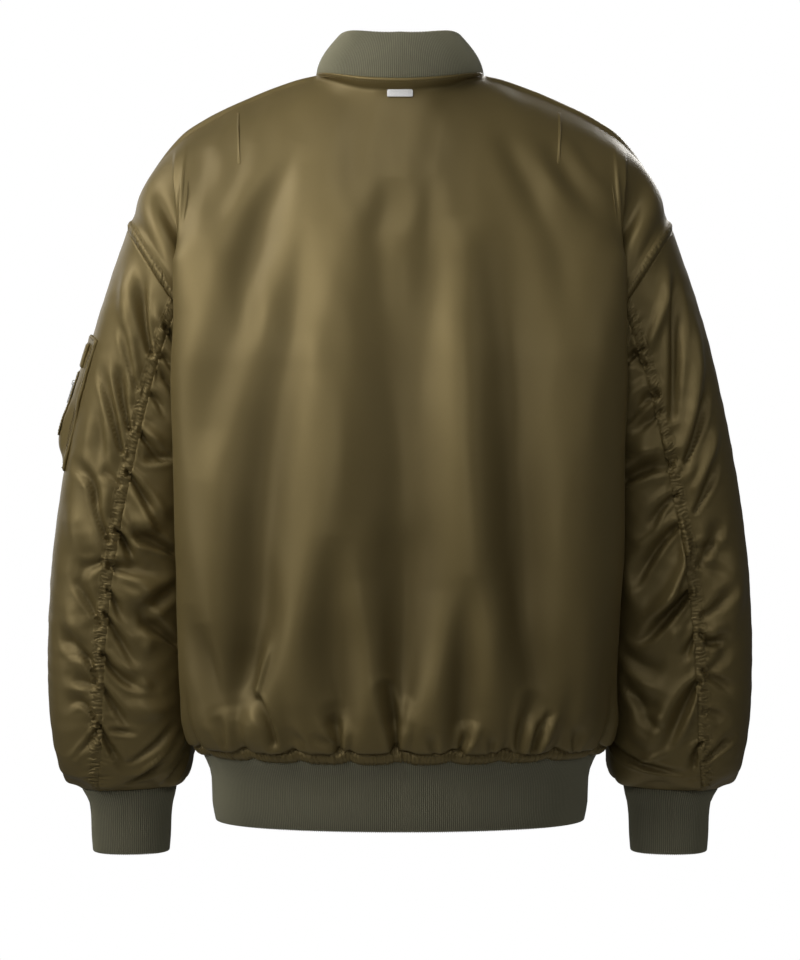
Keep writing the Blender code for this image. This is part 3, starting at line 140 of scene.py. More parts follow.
# ---- folds
# A long fold is a line of points going down, each with x, z, how far it stands out (or in, if negative) and
# how wide it is there, in millimetres. Its last value, lean, makes one flank steep and the other long.
BACK_FOLDS = (
    ((100, -73, 0, 9.3), (116, -112, -4.8, 14), (127, -138, -9.2, 17.8), (134, -165, -11.5, 21.6),
     (142, -194, -11, 20.8), (148, -222, -9.2, 19.9), (154, -253, -7.8, 20.9), (162, -285, -6.4, 22.9),
     (173, -323, -5, 21.1), (182, -361, -3, 17.4), (190, -400, 0, 14.5), 0.0),
    ((86, -154, 0, 9.3), (94, -196, -2.6, 13.9), (97, -224, -4.4, 16.7), (102, -252, -5.6, 18.6),
     (108, -279, -6.8, 20.4), (116, -316, -9, 23.3), (124, -363, -12.8, 26.2), (130, -419, -15.6, 26.3),
     (135, -475, -18.5, 25.4), (139, -523, -21.5, 24.5), (143, -560, -20.5, 20.8), (146, -594, -16, 15.1),
     (150, -629, -5, 10.4), 0.0),
    ((-4, -165, 0, 25), (-4, -195, -0.8, 29), (-4, -225, -3.4, 33), (-4, -252, -6.8, 36),
     (-3, -285, -10.5, 38.5), (-2, -335, -13.2, 38), (-4, -391, -14.5, 36.2), (-6, -437, -16, 33.4),
     (-6, -474, -20, 30.6), (-5, -521, -21, 27.8), (-4, -558, -20.5, 24.1), (-2, -590, -17, 18.6),
     (2, -624, -9, 12.1), 0.0),
    ((6, -108, 0, 13), (11, -140, -4.6, 17.6), (18, -168, -4.8, 16.7), (17, -201, -4.6, 16.7),
     (20, -228, -3.8, 18.6), (22, -262, -1.8, 20.4), (24, -300, -0.4, 21), (25, -335, 0, 21), 0.0),
    ((-34, -103, 0, 9.3), (-31, -140, -2.6, 12.1), (-29, -168, -4.4, 15.8), (-29, -198, -5.4, 18.6),
     (-29, -228, -4.6, 21.3), (-28, -262, -2.2, 23), (-28, -300, -0.5, 24.1), (-28, -335, 0, 24.1), 0.0),
    ((-100, -173, 0, 22.3), (-99, -201, -3.8, 26.9), (-100, -233, -7.6, 29.7), (-104, -279, -9.6, 28.8),
     (-107, -335, -11, 26.9), (-109, -391, -13.6, 26), (-114, -446, -16, 25.1), (-118, -502, -16.6, 24.2),
     (-123, -549, -13.6, 20.5), (-127, -587, -11, 16.8), (-133, -627, -5, 11.3), 0.0),
    ((-98, -64, 0, 10.2), (-109, -89, -2.4, 12.1), (-123, -115, -3.4, 13.1), (-134, -142, -3.2, 13.2),
     (-145, -168, -2.6, 14.2), (-153, -201, -1.9, 14.2), (-159, -238, -1.3, 17.1), (-167, -276, 0, 19.1),
     0.0),
    ((-145, -62, 0, 9.5), (-153, -82, -2.6, 10.4), (-165, -106, -4.2, 10.5), (-181, -130, -2.6, 11.6),
     (-196, -159, 0, 11.7), 0.0),
    ((144, -69, 0, 7.6), (153, -87, -1.4, 10.4), (160, -106, -2.1, 13.3), (174, -133, -1.8, 13.4),
     (187, -168, 0, 13.5), 0.0),
    ((188, -69, 0, 8.7), (192, -88, -1.6, 10.7), (195, -109, -1.5, 11.7), (200, -139, 0, 11.7), 0.0),
    ((49, -59, 0, 10.2), (46, -89, -1.3, 12.1), (43, -122, -1.3, 14.8), (37, -154, 0, 16.7), 0.0),
    ((60, -451, 0, 13.9), (61, -483, -3.4, 15.8), (62, -516, -7.4, 17.6), (60, -553, -12, 20.4),
     (58, -590, -12.4, 19.5), (55, -624, -9, 15.8), 0.0),
    ((-66, -488, 0, 11.1), (-63, -521, -3.4, 12.1), (-61, -553, -7, 13.9), (-61, -586, -9.8, 14.8),
     (-61, -624, -9, 13.9), 0.0),
    ((201, -517, 0, 11.7), (195, -551, -5, 12.6), (186, -586, -6, 11.6), (177, -616, -4.2, 9.6),
     (172, -635, -1.5, 8.6), 0.0),
    ((-214, -478, 0, 13.7), (-209, -537, -4, 15.7), (-202, -595, -5.5, 14.6), (-195, -628, -4.5, 12.6),
     (-192, -647, -1.5, 9.7), 0.0),
    ((60, -261, 0, 31.5), (62, -307, 5, 33.4), (65, -372, 6.5, 33.4), (76, -446, 6, 27.8),
     (89, -502, 5.5, 22.3), (96, -548, 5, 18.6), (96, -604, 3, 16.7), 0.0),
    ((-58, -150, 0, 24.1), (-61, -196, 4.5, 27.8), (-62, -261, 7.5, 29.7), (-61, -335, 8.5, 27.8),
     (-65, -409, 8, 26), (-71, -474, 6, 22.3), (-82, -521, 5.5, 18.6), (-87, -567, 5, 16.7),
     (-89, -613, 2, 14.8), 0.0),
    ((72, -94, 0, 24.1), (67, -140, 3, 27.8), (59, -196, 4, 31.5), (58, -252, 3, 33.4),
     (59, -298, 0, 33.4), 0.0),
    ((-176, -189, 0, 25), (-174, -256, 4, 26.9), (-171, -342, 5, 26.8), (-171, -438, 5, 24.9),
     (-173, -525, 4, 23), (-175, -611, 2, 19.2), 0.0),
    ((179, -352, 0, 19.3), (177, -419, 3, 21.2), (176, -487, 4.5, 21.1), (172, -553, 3, 17.3),
     (164, -601, 0, 13.4), 0.0),
    ((35, -493, 0, 16.7), (32, -530, 2.6, 16.7), (30, -567, 3.2, 16.7), (29, -613, 2, 14.8), 0.0),
    ((-33, -502, 0, 18.6), (-35, -548, 2.6, 18.6), (-34, -595, 3, 16.7), (-33, -623, 2, 14.8), 0.0),
    ((207, -244, 0, 13.7), (205, -283, 2.5, 14.6), (205, -351, 3.5, 15.6), (202, -419, 3, 15.6),
     (196, -478, 1.5, 14.6), (192, -516, 0, 13.6), 0.0),
)
FRONT_FOLDS = (
    ((112, -80, 0, 16), (140, -140, -7, 18), (160, -220, -8, 20), (172, -320, -7, 20), (178, -430, 0, 20),
     -0.2),
    ((70, -130, 0, 22), (86, -230, 7, 24), (96, -340, 8, 25), (100, -450, 7.5, 24), (104, -560, 6, 20),
     (104, -640, 3, 18), 0.2),
    ((40, -170, 0, 18), (49, -270, -6.5, 20), (52, -380, -8, 20), (50, -500, -8.5, 18),
     (48, -590, -8, 15), (46, -645, -5, 14), -0.2),
    ((150, -400, 0, 15), (148, -490, -8, 17), (144, -580, -9, 16), (141, -645, -6, 14), -0.2),
    ((89, -480, 0, 12), (88, -560, -7, 13), (92, -645, -6, 12), 0.0),
    ((28, -420, 0, 13), (26, -520, 4, 14), (30, -630, 3, 13), 0.0),
)
# A short crease goes through three points: x and z of each, its depth and width, all in millimetres, how much
# of it is left where it starts and where it ends, and its lean.
MM = 0.001


def in_metres(creases):
    return [(*(value * MM for value in row[:8]), *row[8:]) for row in creases]


BACK_CREASES = in_metres((
    (136, -604, 125, -619, 116, -646, -6, 4.5, 0.5, 0.9, 0.5),
    (150, -612, 144, -628, 134, -645, 3, 10, 0.3, 0.6, 0.0),
    (123, -549, 130, -575, 137, -604, 4.2, 5, 0.2, 1.0, 0.3),
    (150, -555, 157, -585, 160, -620, -4.5, 12, 0.3, 0.5, 0.0),
    (176, -624, 170, -636, 165, -650, -3, 4.5, 0.2, 0.9, 0.0),
    (76, -639, 64, -647, 58, -656, -3.5, 3, 0.3, 0.9, 0.3),
    (65, -618, 61, -635, 56, -654, -5, 4.5, 0.2, 1.0, 0.0),
    (52, -621, 50, -637, 51, -651, 4, 4, 0.2, 0.8, 0.0),
    (11, -595, 5, -628, 3, -654, -6, 4.5, 0.5, 1.0, 0.3),
    (-7, -610, -6, -631, -5, -649, 4, 5, 0.5, 0.7, 0.0),
    (-65, -637, -60, -644, -56, -654, -4.5, 3.5, 0.3, 1.0, 0.0),
    (-72, -625, -69, -638, -63, -651, 3.5, 4.5, 0.2, 0.7, 0.0),
    (-124, -609, -115, -632, -111, -653, -5, 5, 0.3, 0.9, 0.0),
    (-134, -633, -128, -643, -124, -653, -5.5, 3.5, 0.4, 1.0, 0.0),
    (-144, -624, -138, -637, -131, -651, 4, 4.5, 0.3, 0.7, 0.0),
    (-143, -619, -139, -624, -136, -630, -3, 3, 0.3, 0.3, 0.0),
    (102, -637, 93, -644, 88, -653, -2.5, 4, 0.2, 0.7, 0.0),
    (-28, -637, -31, -645, -32, -654, -2.5, 4, 0.2, 0.7, 0.0),
    (-88, -640, -86, -647, -85, -654, -2.5, 4, 0.2, 0.7, 0.0),
    (-172, -632, -167, -643, -165, -653, -3.5, 5, 0.2, 0.9, 0.0),
    (188, -535, 180, -575, 170, -612, -5, 11, 0.1, 0.5, 0.0),
))
FRONT_CREASES = in_metres((
    (44, -600, 47, -625, 44, -652, -5.5, 5, 0.3, 1.0, 0.3),
    (52, -612, 54, -632, 52, -650, 4, 5, 0.3, 0.7, 0.0),
    (94, -606, 90, -630, 88, -652, -5, 4.5, 0.3, 1.0, 0.0),
    (101, -620, 98, -636, 96, -650, 3.5, 4.5, 0.3, 0.7, 0.0),
    (136, -600, 131, -625, 127, -650, -5.5, 5, 0.3, 1.0, 0.4),
    (165, -610, 160, -632, 157, -651, -4.5, 4.5, 0.3, 0.9, 0.0),
    (26, -630, 28, -642, 29, -654, -3, 4, 0.2, 0.9, 0.0),
    (70, -634, 68, -645, 67, -654, -3, 4, 0.2, 0.9, 0.0),
    (100, -100, 120, -160, 126, -230, -4, 11, 0.2, 0.2, 0.0),
    (30, -120, 40, -180, 38, -250, 3, 12, 0.2, 0.2, 0.0),
    (12, -330, 30, -345, 52, -350, -2.2, 7, 0.8, 0.1, 0.2),
    (12, -470, 32, -482, 58, -480, -2.5, 8, 0.8, 0.1, 0.2),
))
LEFT_SLEEVE_CREASES = in_metres((
    (246, -193, 249, -226, 241, -277, -8.4, 6.5, 0.1, 0.8, 0.0),
    (232, -216, 233, -243, 229, -260, 4.7, 8, 0.2, 0.6, 0.0),
    (261, -185, 264, -231, 254, -293, 6.1, 11, 0.1, 0.5, 0.0),
    (273, -290, 270, -317, 262, -352, -6.8, 5, 0.1, 0.9, 0.3),
    (290, -302, 280, -333, 270, -373, -7.4, 4.3, 0.3, 0.9, 0.3),
    (289, -332, 291, -361, 293, -390, -4.7, 8.6, 0.1, 0.1, 0.0),
    (300, -395, 293, -434, 283, -458, -7.4, 5, 0.1, 0.9, 0.4),
    (317, -496, 305, -518, 292, -540, -6.8, 5, 0.1, 0.9, 0.4),
    (334, -559, 313, -564, 296, -594, -6.8, 5, 0.1, 0.9, 0.4),
    (324, -622, 310, -619, 297, -634, -5.4, 4.3, 0.1, 0.9, 0.4),
    (319, -676, 308, -662, 296, -644, -5.4, 5, 0.1, 0.8, -0.3),
    (279, -400, 286, -424, 290, -448, 4.1, 8, 0.1, 0.3, 0.0),
    (319, -419, 314, -448, 306, -477, 4.7, 12, 0.1, 0.2, 0.0),
    (323, -516, 317, -540, 306, -565, 4.7, 10, 0.1, 0.3, 0.0),
    (225, -258, 221, -262, 215, -270, -4.7, 4, 0.9, 0.4, 0.3),
    (231, -283, 225, -286, 219, -294, -5.4, 4, 0.9, 0.3, 0.3),
    (232, -301, 225, -306, 217, -321, -6.8, 4.3, 0.3, 0.8, 0.3),
    (242, -320, 235, -326, 229, -336, -6.1, 4, 0.9, 0.2, 0.4),
    (251, -355, 243, -367, 232, -377, -8.1, 4.5, 0.9, 0.3, 0.4),
    (248, -381, 236, -381, 221, -380, -7.4, 4.3, 0.2, 0.7, 0.4),
    (264, -394, 248, -419, 234, -447, -8.1, 4.5, 0.9, 0.2, 0.4),
    (275, -450, 266, -464, 258, -480, -6.8, 4, 0.9, 0.2, 0.4),
    (261, -455, 240, -461, 217, -474, -10.1, 5.8, 0.3, 0.8, 0.3),
    (281, -485, 261, -489, 236, -491, -7.4, 6, 0.9, 0.2, 0.4),
    (284, -508, 276, -523, 267, -541, -6.1, 4, 0.9, 0.1, 0.4),
    (255, -537, 240, -544, 217, -563, -9.5, 6.5, 0.2, 0.8, 0.2),
    (287, -531, 274, -554, 256, -582, -7.4, 4, 0.9, 0.1, 0.5),
    (289, -571, 269, -595, 242, -603, -7.4, 5, 0.9, 0.2, 0.4),
    (290, -602, 279, -622, 263, -644, -6.8, 4, 0.9, 0.1, 0.5),
    (294, -638, 284, -662, 270, -685, -6.8, 4.5, 0.9, 0.2, 0.5),
    (267, -699, 244, -685, 219, -659, -6.8, 4.3, 0.3, 0.3, -0.3),
    (234, -700, 223, -690, 212, -673, -6.1, 5, 0.3, 0.3, -0.3),
    (261, -613, 242, -625, 223, -618, 5.4, 10, 0.1, 0.3, 0.0),
    (252, -439, 240, -433, 225, -424, 6.1, 9, 0.2, 0.2, 0.0),
    (269, -502, 254, -514, 236, -516, 6.1, 8, 0.3, 0.2, 0.0),
    (268, -250, 264, -276, 255, -311, -5, 5, 0.1, 0.8, 0.2),
    (287, -323, 284, -351, 278, -373, 4.5, 7.5, 0.2, 0.4, 0.0),
    (316, -389, 302, -401, 296, -419, -6, 5, 0.3, 0.5, 0.3),
    (290, -391, 282, -397, 272, -406, -4.5, 4.5, 0.1, 0.9, 0.3),
    (225, -255, 220, -261, 214, -271, -5.5, 5, 0.9, 0.4, 0.3),
    (246, -350, 236, -361, 226, -366, 5, 5.5, 0.3, 0.3, 0.0),
    (260, -412, 252, -424, 241, -444, 5, 5.5, 0.6, 0.2, 0.0),
    (271, -431, 262, -445, 259, -456, 5, 5.5, 0.5, 0.3, 0.0),
    (257, -448, 246, -445, 234, -443, 5, 8, 0.3, 0.3, 0.0),
    (273, -453, 267, -464, 260, -478, -5.5, 4.2, 0.9, 0.2, 0.3),
    (312, -484, 302, -483, 289, -478, -5, 4.3, 0.2, 0.9, -0.3),
    (319, -594, 308, -598, 296, -601, -5.5, 5, 0.2, 0.9, 0.3),
    (319, -678, 311, -668, 302, -656, 4.5, 6, 0.2, 0.4, 0.0),
    (265, -494, 249, -504, 233, -513, 6.5, 7.5, 0.4, 0.2, 0.2),
    (257, -525, 236, -518, 218, -504, -6.5, 6.1, 0.3, 0.6, 0.0),
    (251, -558, 245, -560, 239, -563, 4.5, 7, 0.2, 0.2, 0.0),
    (258, -597, 249, -601, 241, -598, 5.5, 7, 0.2, 0.2, 0.0),
    (281, -644, 271, -645, 261, -647, -4.5, 3.6, 0.3, 0.3, 0.0),
    (222, -639, 240, -660, 264, -676, -5, 4.3, 0.3, 0.4, 0.2),
    (212, -653, 228, -671, 256, -688, 4.5, 6, 0.3, 0.3, 0.0),
    (329, -555, 319, -569, 302, -574, -4, 4.3, 0.2, 0.6, 0.2),
    (302, -439, 294, -463, 287, -474, 4.5, 7, 0.1, 0.5, 0.0),
))
RIGHT_SLEEVE_CREASES = in_metres((
    (257, -177, 255, -223, 241, -267, 8, 8, 0.2, 0.6, 0.0),
    (265, -202, 266, -269, 263, -337, -10.1, 6.5, 0.1, 0.5, 0.0),
    (282, -233, 286, -307, 272, -368, 8.7, 9, 0.1, 0.5, 0.0),
    (297, -313, 291, -346, 277, -383, -8.7, 5, 0.1, 0.8, 0.3),
    (307, -347, 299, -378, 285, -408, 7.2, 6, 0.1, 0.6, 0.0),
    (308, -382, 298, -410, 286, -431, -7.2, 4.3, 0.1, 0.8, 0.3),
    (312, -439, 304, -463, 290, -483, -6.5, 5.8, 0.1, 0.8, 0.3),
    (318, -547, 306, -559, 291, -551, -7.2, 4.3, 0.2, 0.9, 0.3),
    (324, -502, 312, -521, 294, -534, -5.8, 5, 0.1, 0.8, 0.3),
    (327, -603, 312, -597, 295, -586, -5.8, 4.3, 0.1, 0.8, -0.3),
    (317, -634, 308, -628, 296, -625, -5.1, 5, 0.2, 0.7, -0.3),
    (325, -654, 314, -663, 299, -676, -5.8, 5, 0.2, 0.6, 0.3),
    (331, -477, 327, -516, 317, -540, 5.1, 12, 0.1, 0.2, 0.0),
    (232, -276, 225, -281, 217, -289, -5.8, 4, 0.9, 0.4, 0.3),
    (247, -322, 237, -326, 221, -340, -8.7, 5.5, 0.9, 0.4, 0.4),
    (259, -371, 242, -373, 225, -367, 5.8, 7, 0.3, 0.2, 0.0),
    (259, -387, 237, -391, 217, -402, -11.6, 7, 0.8, 0.8, 0.3),
    (267, -416, 252, -431, 242, -448, -6.5, 5, 0.9, 0.2, 0.4),
    (268, -448, 248, -470, 230, -499, -8.7, 6, 0.8, 0.3, 0.4),
    (278, -468, 266, -505, 235, -549, 9.4, 5.5, 0.7, 0.3, 0.4),
    (280, -513, 260, -535, 238, -556, -9.4, 5.5, 0.9, 0.3, 0.4),
    (287, -549, 281, -565, 275, -574, -6.5, 4, 0.9, 0.1, 0.4),
    (219, -569, 237, -582, 259, -586, -6.5, 9, 0.6, 0.1, -0.2),
    (290, -599, 278, -623, 259, -661, -9.4, 6.5, 0.9, 0.2, 0.5),
    (219, -601, 231, -615, 254, -628, -7.2, 7, 0.5, 0.1, -0.3),
    (295, -656, 290, -668, 287, -685, -6.5, 4, 0.9, 0.2, 0.4),
    (207, -654, 232, -679, 271, -688, -7.2, 7, 0.4, 0.3, -0.3),
    (219, -477, 225, -506, 232, -528, 5.8, 9, 0.2, 0.3, 0.0),
    (261, -613, 252, -647, 242, -669, 5.8, 9, 0.2, 0.3, 0.0),
    (221, -276, 227, -280, 237, -290, -5, 4.2, 0.3, 0.9, 0.3),
    (225, -324, 233, -328, 248, -324, 5, 6.5, 0.2, 0.5, 0.0),
    (227, -350, 238, -346, 250, -336, -5, 5, 0.2, 0.9, -0.3),
    (225, -368, 240, -361, 254, -355, 4.5, 7.5, 0.3, 0.4, 0.0),
    (242, -390, 254, -386, 259, -384, 5, 6.5, 0.3, 0.3, 0.0),
    (273, -400, 281, -390, 287, -373, 5, 6, 0.5, 0.2, 0.0),
    (267, -439, 277, -458, 275, -480, 6, 6, 0.6, 0.3, 0.3),
    (256, -528, 267, -506, 274, -477, 6.5, 5.5, 0.3, 0.3, -0.3),
    (281, -512, 263, -531, 247, -543, -6, 6, 0.9, 0.2, 0.4),
    (259, -555, 267, -549, 271, -540, 5.5, 7, 0.2, 0.3, 0.0),
    (296, -547, 308, -543, 322, -549, 4.5, 6.5, 0.4, 0.2, 0.0),
    (298, -560, 312, -558, 325, -563, -4, 6, 0.8, 0.2, 0.2),
    (302, -584, 312, -574, 319, -560, -4, 5.5, 0.8, 0.2, 0.0),
    (228, -613, 242, -634, 256, -642, -4.5, 5, 0.3, 0.3, 0.0),
    (227, -625, 232, -647, 247, -659, 4.5, 8, 0.2, 0.2, 0.0),
    (290, -613, 281, -634, 267, -659, 5, 6, 0.5, 0.2, 0.0),
    (232, -679, 247, -671, 261, -663, 4, 6, 0.2, 0.3, 0.0),
    (306, -516, 318, -497, 325, -474, 4, 9, 0.2, 0.2, 0.0),
    (290, -464, 306, -466, 319, -477, -4, 6, 0.8, 0.2, 0.2),
    (294, -483, 306, -487, 319, -501, -4, 5, 0.8, 0.2, 0.2),
))
FOLD_POINTS = 14
FOLD_REACH = 4.4  # widths to each side
WIDEST_WITH_SHOULDERS = 0.012
SHOULDER_OF_FOLD = {"share": 0.26, "beyond": 1.8, "width": 0.7}  # the cloth that stands up beside a trough
WIDEN = 1.3  # how much a fold that starts at a seam spreads on its way

# Where the plain cloth below the neck is evened out, and in how many passes.
EVENED = {"passes": (700, 60, 30, 30), "rise": (0.3, 0.6), "share": (0.55, 0.85), "strength": 0.95}

HEM_TUCKS = {"back": (.010, .165, .330, .500, .700, .900), "front": (.130, .290, .450, .620, .800, .940)}
TUCK = {"depth": 0.0048, "width": 0.028, "rise": 0.045, "middle": 0.012, "blown": 0.3}
HEM_LIFT = 0.0024
HEM_LINE = {"from_seam": 0.0096, "depth": 0.0032, "width": 0.0013}  # the stitched line above the rib
HEM_PUFF = {"height": 0.0022, "starts": 0.0097, "over": 0.005, "fades": 0.03}
CREASE_STRENGTH = 1.35
# The crease down each side of the body: where it comes and goes, in shares of the rise above the underarm,
# its ridge and the hollow beyond it.
SIDE_CREASE = {"low": (-0.25, 0.3), "high": (0.93, 0.35), "ridge": 0.0018, "valley": 0.005}
# The sharp fold above each side of the hem.
EDGE_FOLD = {"height": 0.0042, "fall": 0.011, "spread": 0.1, "shift": 0.02}
DROPPED = {"z": -0.175, "reach": 0.045, "raised": 0.0065, "lowered": 0.005}  # the dropped shoulder lies flat
DRAWN_IN = {"z": -0.245, "reach": 0.05, "share": 0.78, "spread": 0.12, "depth": 0.0095}  # below each armhole
FRONTS_APART = 0.006  # how far the folds of one front are moved, because the two don't crease alike
FRONT_EDGE = {"rise": 0.0006, "over": 0.003, "width": 0.012, "fall": 0.002, "dip": 0.0016,
              "dip_width": 0.0012}
GATHERS = {"count": 5, "depth": 0.0035, "along": 0.93, "spread": 0.05}  # of a sleeve, above its cuff
# Faint unevenness: its height, how many waves it has, their lengths, and how they slant and how that varies.
BODY_RUMPLE = (0.0003, 14, 0.03, 0.09, 0.0, 22.0)
BODY_CRUMPLE = (0.00035, 8, 0.05, 0.12, 0.0, 16.0)
SLEEVE_CRUMPLE = (0.0004, 9, 0.03, 0.07, 55.0, 25.0)
SLEEVE_HOLLOWS = (-0.0002, 9, 0.018, 0.045, 70.0, 30.0)
POCKET_RUMPLE = (0.0006, 8, 0.012, 0.04, 20.0, 40.0)

# ---- seams
SEAM_DIP = 0.0034  # a seam lies this much below the cloth beside it
SEAM_DIP_WIDTH = 0.0011
# A topstitched seam: how wide and how proud the doubled cloth beside it is, where its stitch lines are, how
# far beyond them its puckers die out, and the puckers' spacing and depth.
RUCHED = {"width": 0.0088, "rise": 0.0004, "lines": (), "fade": 0.005, "pitch": (0.0012, 0.003),
          "depth": (0.0004, 0.0012), "wide": (0.0005, 0.0009), "slant": 0.5}
ARMHOLE_BAND = {"width": 0.008, "rise": 0.0012, "lines": (0.0018, 0.007), "fade": 0.0025,
                "pitch": (0.003, 0.008), "depth": (0.0003, 0.0012), "wide": (0.0007, 0.0014), "slant": 0.6,
                "step": 0.0011}
HEM_NYLON = {"width": 0.0086, "rise": 0.0008, "lines": (0.0076,), "fade": 0.0012, "pitch": (0.0018, 0.0042),
             "depth": (0.0005, 0.0012), "wide": (0.0006, 0.001), "slant": 0.2, "flare": 0.0022}
COLLAR_NYLON = {"width": 0.0048, "rise": 0.0005, "lines": (0.004,), "fade": 0.003, "pitch": (0.006, 0.014),
                "depth": (0.0001, 0.0006), "wide": (0.0007, 0.0012), "slant": 0.4, "step": 0.0012}
EDGE_NYLON = {"width": 0.007, "rise": 0.0006, "lines": (0.0062,), "fade": 0.0016, "pitch": (0.006, 0.014),
              "depth": (0.0001, 0.0006), "wide": (0.0009, 0.0016), "slant": 0.5, "step": 0.0015}
PUCKER_REACH = 0.012
PUCKER_RIDGE = 0.45  # how high the cloth stands beside a pucker, in depths of it
GROOVE = 0.0007  # how deep, and how wide, a line of stitches sinks in
BAND_STEP = 0.0008
BAND_SINK = 0.0012
BAND_NEAR = (0.0001, 0.0003, 0.0007, 0.0013)  # columns of points beside the seam, from the seam
BAND_FAR = (-0.0006, 0.0, 0.0006, 0.0013, 0.0021)  # and at its far edge, from there
STITCH = {"length": 0.0025, "pitch": 0.0033, "radius": 0.00026, "dip": 0.0004}
CROSS_STITCH = {"length": 0.0019, "pitch": 0.0025}  # under the collar
# Small creases that leave the ruched seams of the sleeves.
DRAG = {"pitch": (0.006, 0.012), "length": (0.008, 0.022), "depth": (0.0005, 0.0014),
        "width": (0.0022, 0.0036),
        "slant": (22, 16), "margins": (0.02, 0.012)}

# ---- zips, pocket, darts and plate
TOOTH = {"pitch": 0.0023, "long": 0.0034, "half_thick": 0.0011, "half_tall": 0.00075, "overlap": 0.0005}
ZIP_SINK = 0.0006
TAPE = {"wall": 0.001, "inner": 0.0024, "outer": 0.011, "deeper": 0.0008, "bead": 0.0005, "step": 0.0022}
POCKET = {
    "rings": (0.155, 0.203, 0.25, 0.298, 0.345), "angles": (32.0, 16.0, 0.0, -16.0, -32.0, -48.0),
    "wall": 0.0015,
    "back_edge": (42.0, 33.0), "row": 0.027, "column": 0.022,
    "fullness": (0.0, 0.0015, 0.0045, 0.0085, 0.0), "across": (0.0, 0.9, 1.0, 1.0, 0.8, 0.0),
    "zip_column": 1.35, "zip_rows": (1.1, 3.0), "tab_rows": (0.25, 0.95), "tab_columns": (0.55, 0.95),
}
POCKET_ZIP = {"half_tape": 0.0052, "teeth": 0.72, "welt": (0.004, 0.0098), "welt_stitch": 0.0088,
              "proud": 0.0009}
POCKET_ROWS, POCKET_COLUMNS = 73, 97
POCKET_STITCHES = (0.075, 0.26)  # two lines round the patch, from its edge in shares of a row
GAP = 0.0003
BEHIND = 0.3  # a y that is clear of the back
DARTS = {"top": (0.159, -0.036), "bottom": (0.1545, -0.094), "open": (-0.046, -0.076), "lift": 0.0004,
         "gape": 0.0007}
# Across a dart: how far each point is to its side, and how much of the dart's height it has or, where that is
# under a hundredth, how far it is sunk.
DART_LIPS = ((0.003, -0.0009), (0.0024, 0.0), (0.0014, 0.5), (0.0005, 0.95), (0.0001, 1.0), (-0.0003, 0.6),
             (-0.0004, -0.0012))
PLATE = {"half_width": 0.0125, "height": 0.0072, "z": -0.0262, "arch": 0.001, "clear": 0.0005, "thick": 0.001,
         "corner": 0.0013, "edge": 0.00035}
CUTS = {  # width, length, flat area and how it is held, for what shows of each cut piece
    "back": (0.775, 0.735, 0.452, "hung"),
    "front": (0.406, 0.717, 0.21, "hung"),
    "sleeve_outer": (0.34, 0.58, 0.158, "gathered"),
    "sleeve_under": (0.228, 0.501, 0.104, "gathered"),
    "rib_cuff": (0.267, 0.069, 0.0184, "stretched"),
    "rib_hem_band": (1.147, 0.072, 0.0825, "stretched"),
    "rib_collar": (0.577, 0.053, 0.0285, "stretched"),
    "front_tape": (0.01, 0.67, 0.0067, "laid"),
    "sleeve_pocket": (0.14, 0.141, 0.0178, "laid"),
    "pocket_tape": (0.0105, 0.066, 0.00069, "laid"),
    "pen_tab": (0.0125, 0.0255, 0.00031, "folded"),
}

# ---- camera, light and floor
CAMERA_PLACE = (0.0, 2.47, -0.4)
CAMERA_FILM = 36.0
CAMERA_LENS = 93.0
LIGHT_SPREAD = math.radians(70)
LIGHT_GAIN = 0.96
CHEST = (0.03, 0.06, -0.15)
WARM = (1.0, 0.985, 0.96)
WHITE = (1.0, 1.0, 1.0)
SOFTBOXES = (  # name, place, what it is aimed at, width, height, power and colour
    ("high key", (1.4, 0.1, 1.0), CHEST, 0.9, 0.9, 2.3, WARM),
    ("side key", (1.3, 1.2, 0.5), CHEST, 0.9, 0.9, 2.3, WARM),
    ("low side", (1.9, 0.6, -0.3), (0.03, 0.06, -0.35), 0.9, 0.9, 0.6, WHITE),
    ("top light", (0.2, 0.9, 1.6), CHEST, 0.9, 0.9, 1.3, WHITE),
    ("back fill", (0.2, 2.3, 0.2), CHEST, 0.9, 0.9, 0.95, WHITE),
    ("far side", (-1.4, 1.4, 0.4), CHEST, 0.9, 0.9, 0.4, WHITE),
    ("front key", (-0.8, -2.3, 0.9), (0.0, -0.05, -0.25), 1.0, 1.0, 5.0, WHITE),
    ("front fill", (1.5, -2.1, 0.2), (0.0, 0.0, -0.4), 1.2, 1.8, 1.6, WHITE),
)
FLOOR_Z = -1.5
FLOOR_RADIUS = 2.4
FLOOR_GLOW = 0.62
LIGHT_ALL_ROUND = 0.06

# ---- how finely the pieces are divided
STEP = 0.0024
FRONT_STEP = 0.003
SLEEVE_STEP = 0.0028
BESIDE_ROWS = 16  # of the cloth at a seam, that its band can lie on
LINING_EVERY = 3  # the inside of the cloth has every third row and column
EDGE_STEPS = (0.0006, 0.0008, 0.001, 0.0012, 0.0013, 0.0013, 0.0014, 0.0018)
RIB_PITCH = 0.002
RIB_DEPTH = 0.0005
RIB_COLUMNS = 4  # to a rib
CORNER_POINTS = 36  # how far the rib band's corners at the sides are rounded

rng = np.random.default_rng(11)


# ---- curves
def cubic(u, a, b, leave, arrive):
    """A cubic from a to b that leaves and arrives with these tangents."""
    start = (2 * u**3 - 3 * u**2 + 1) * a + (u**3 - 2 * u**2 + u) * leave
    return start + (3 * u**2 - 2 * u**3) * b + (u**3 - u**2) * arrive


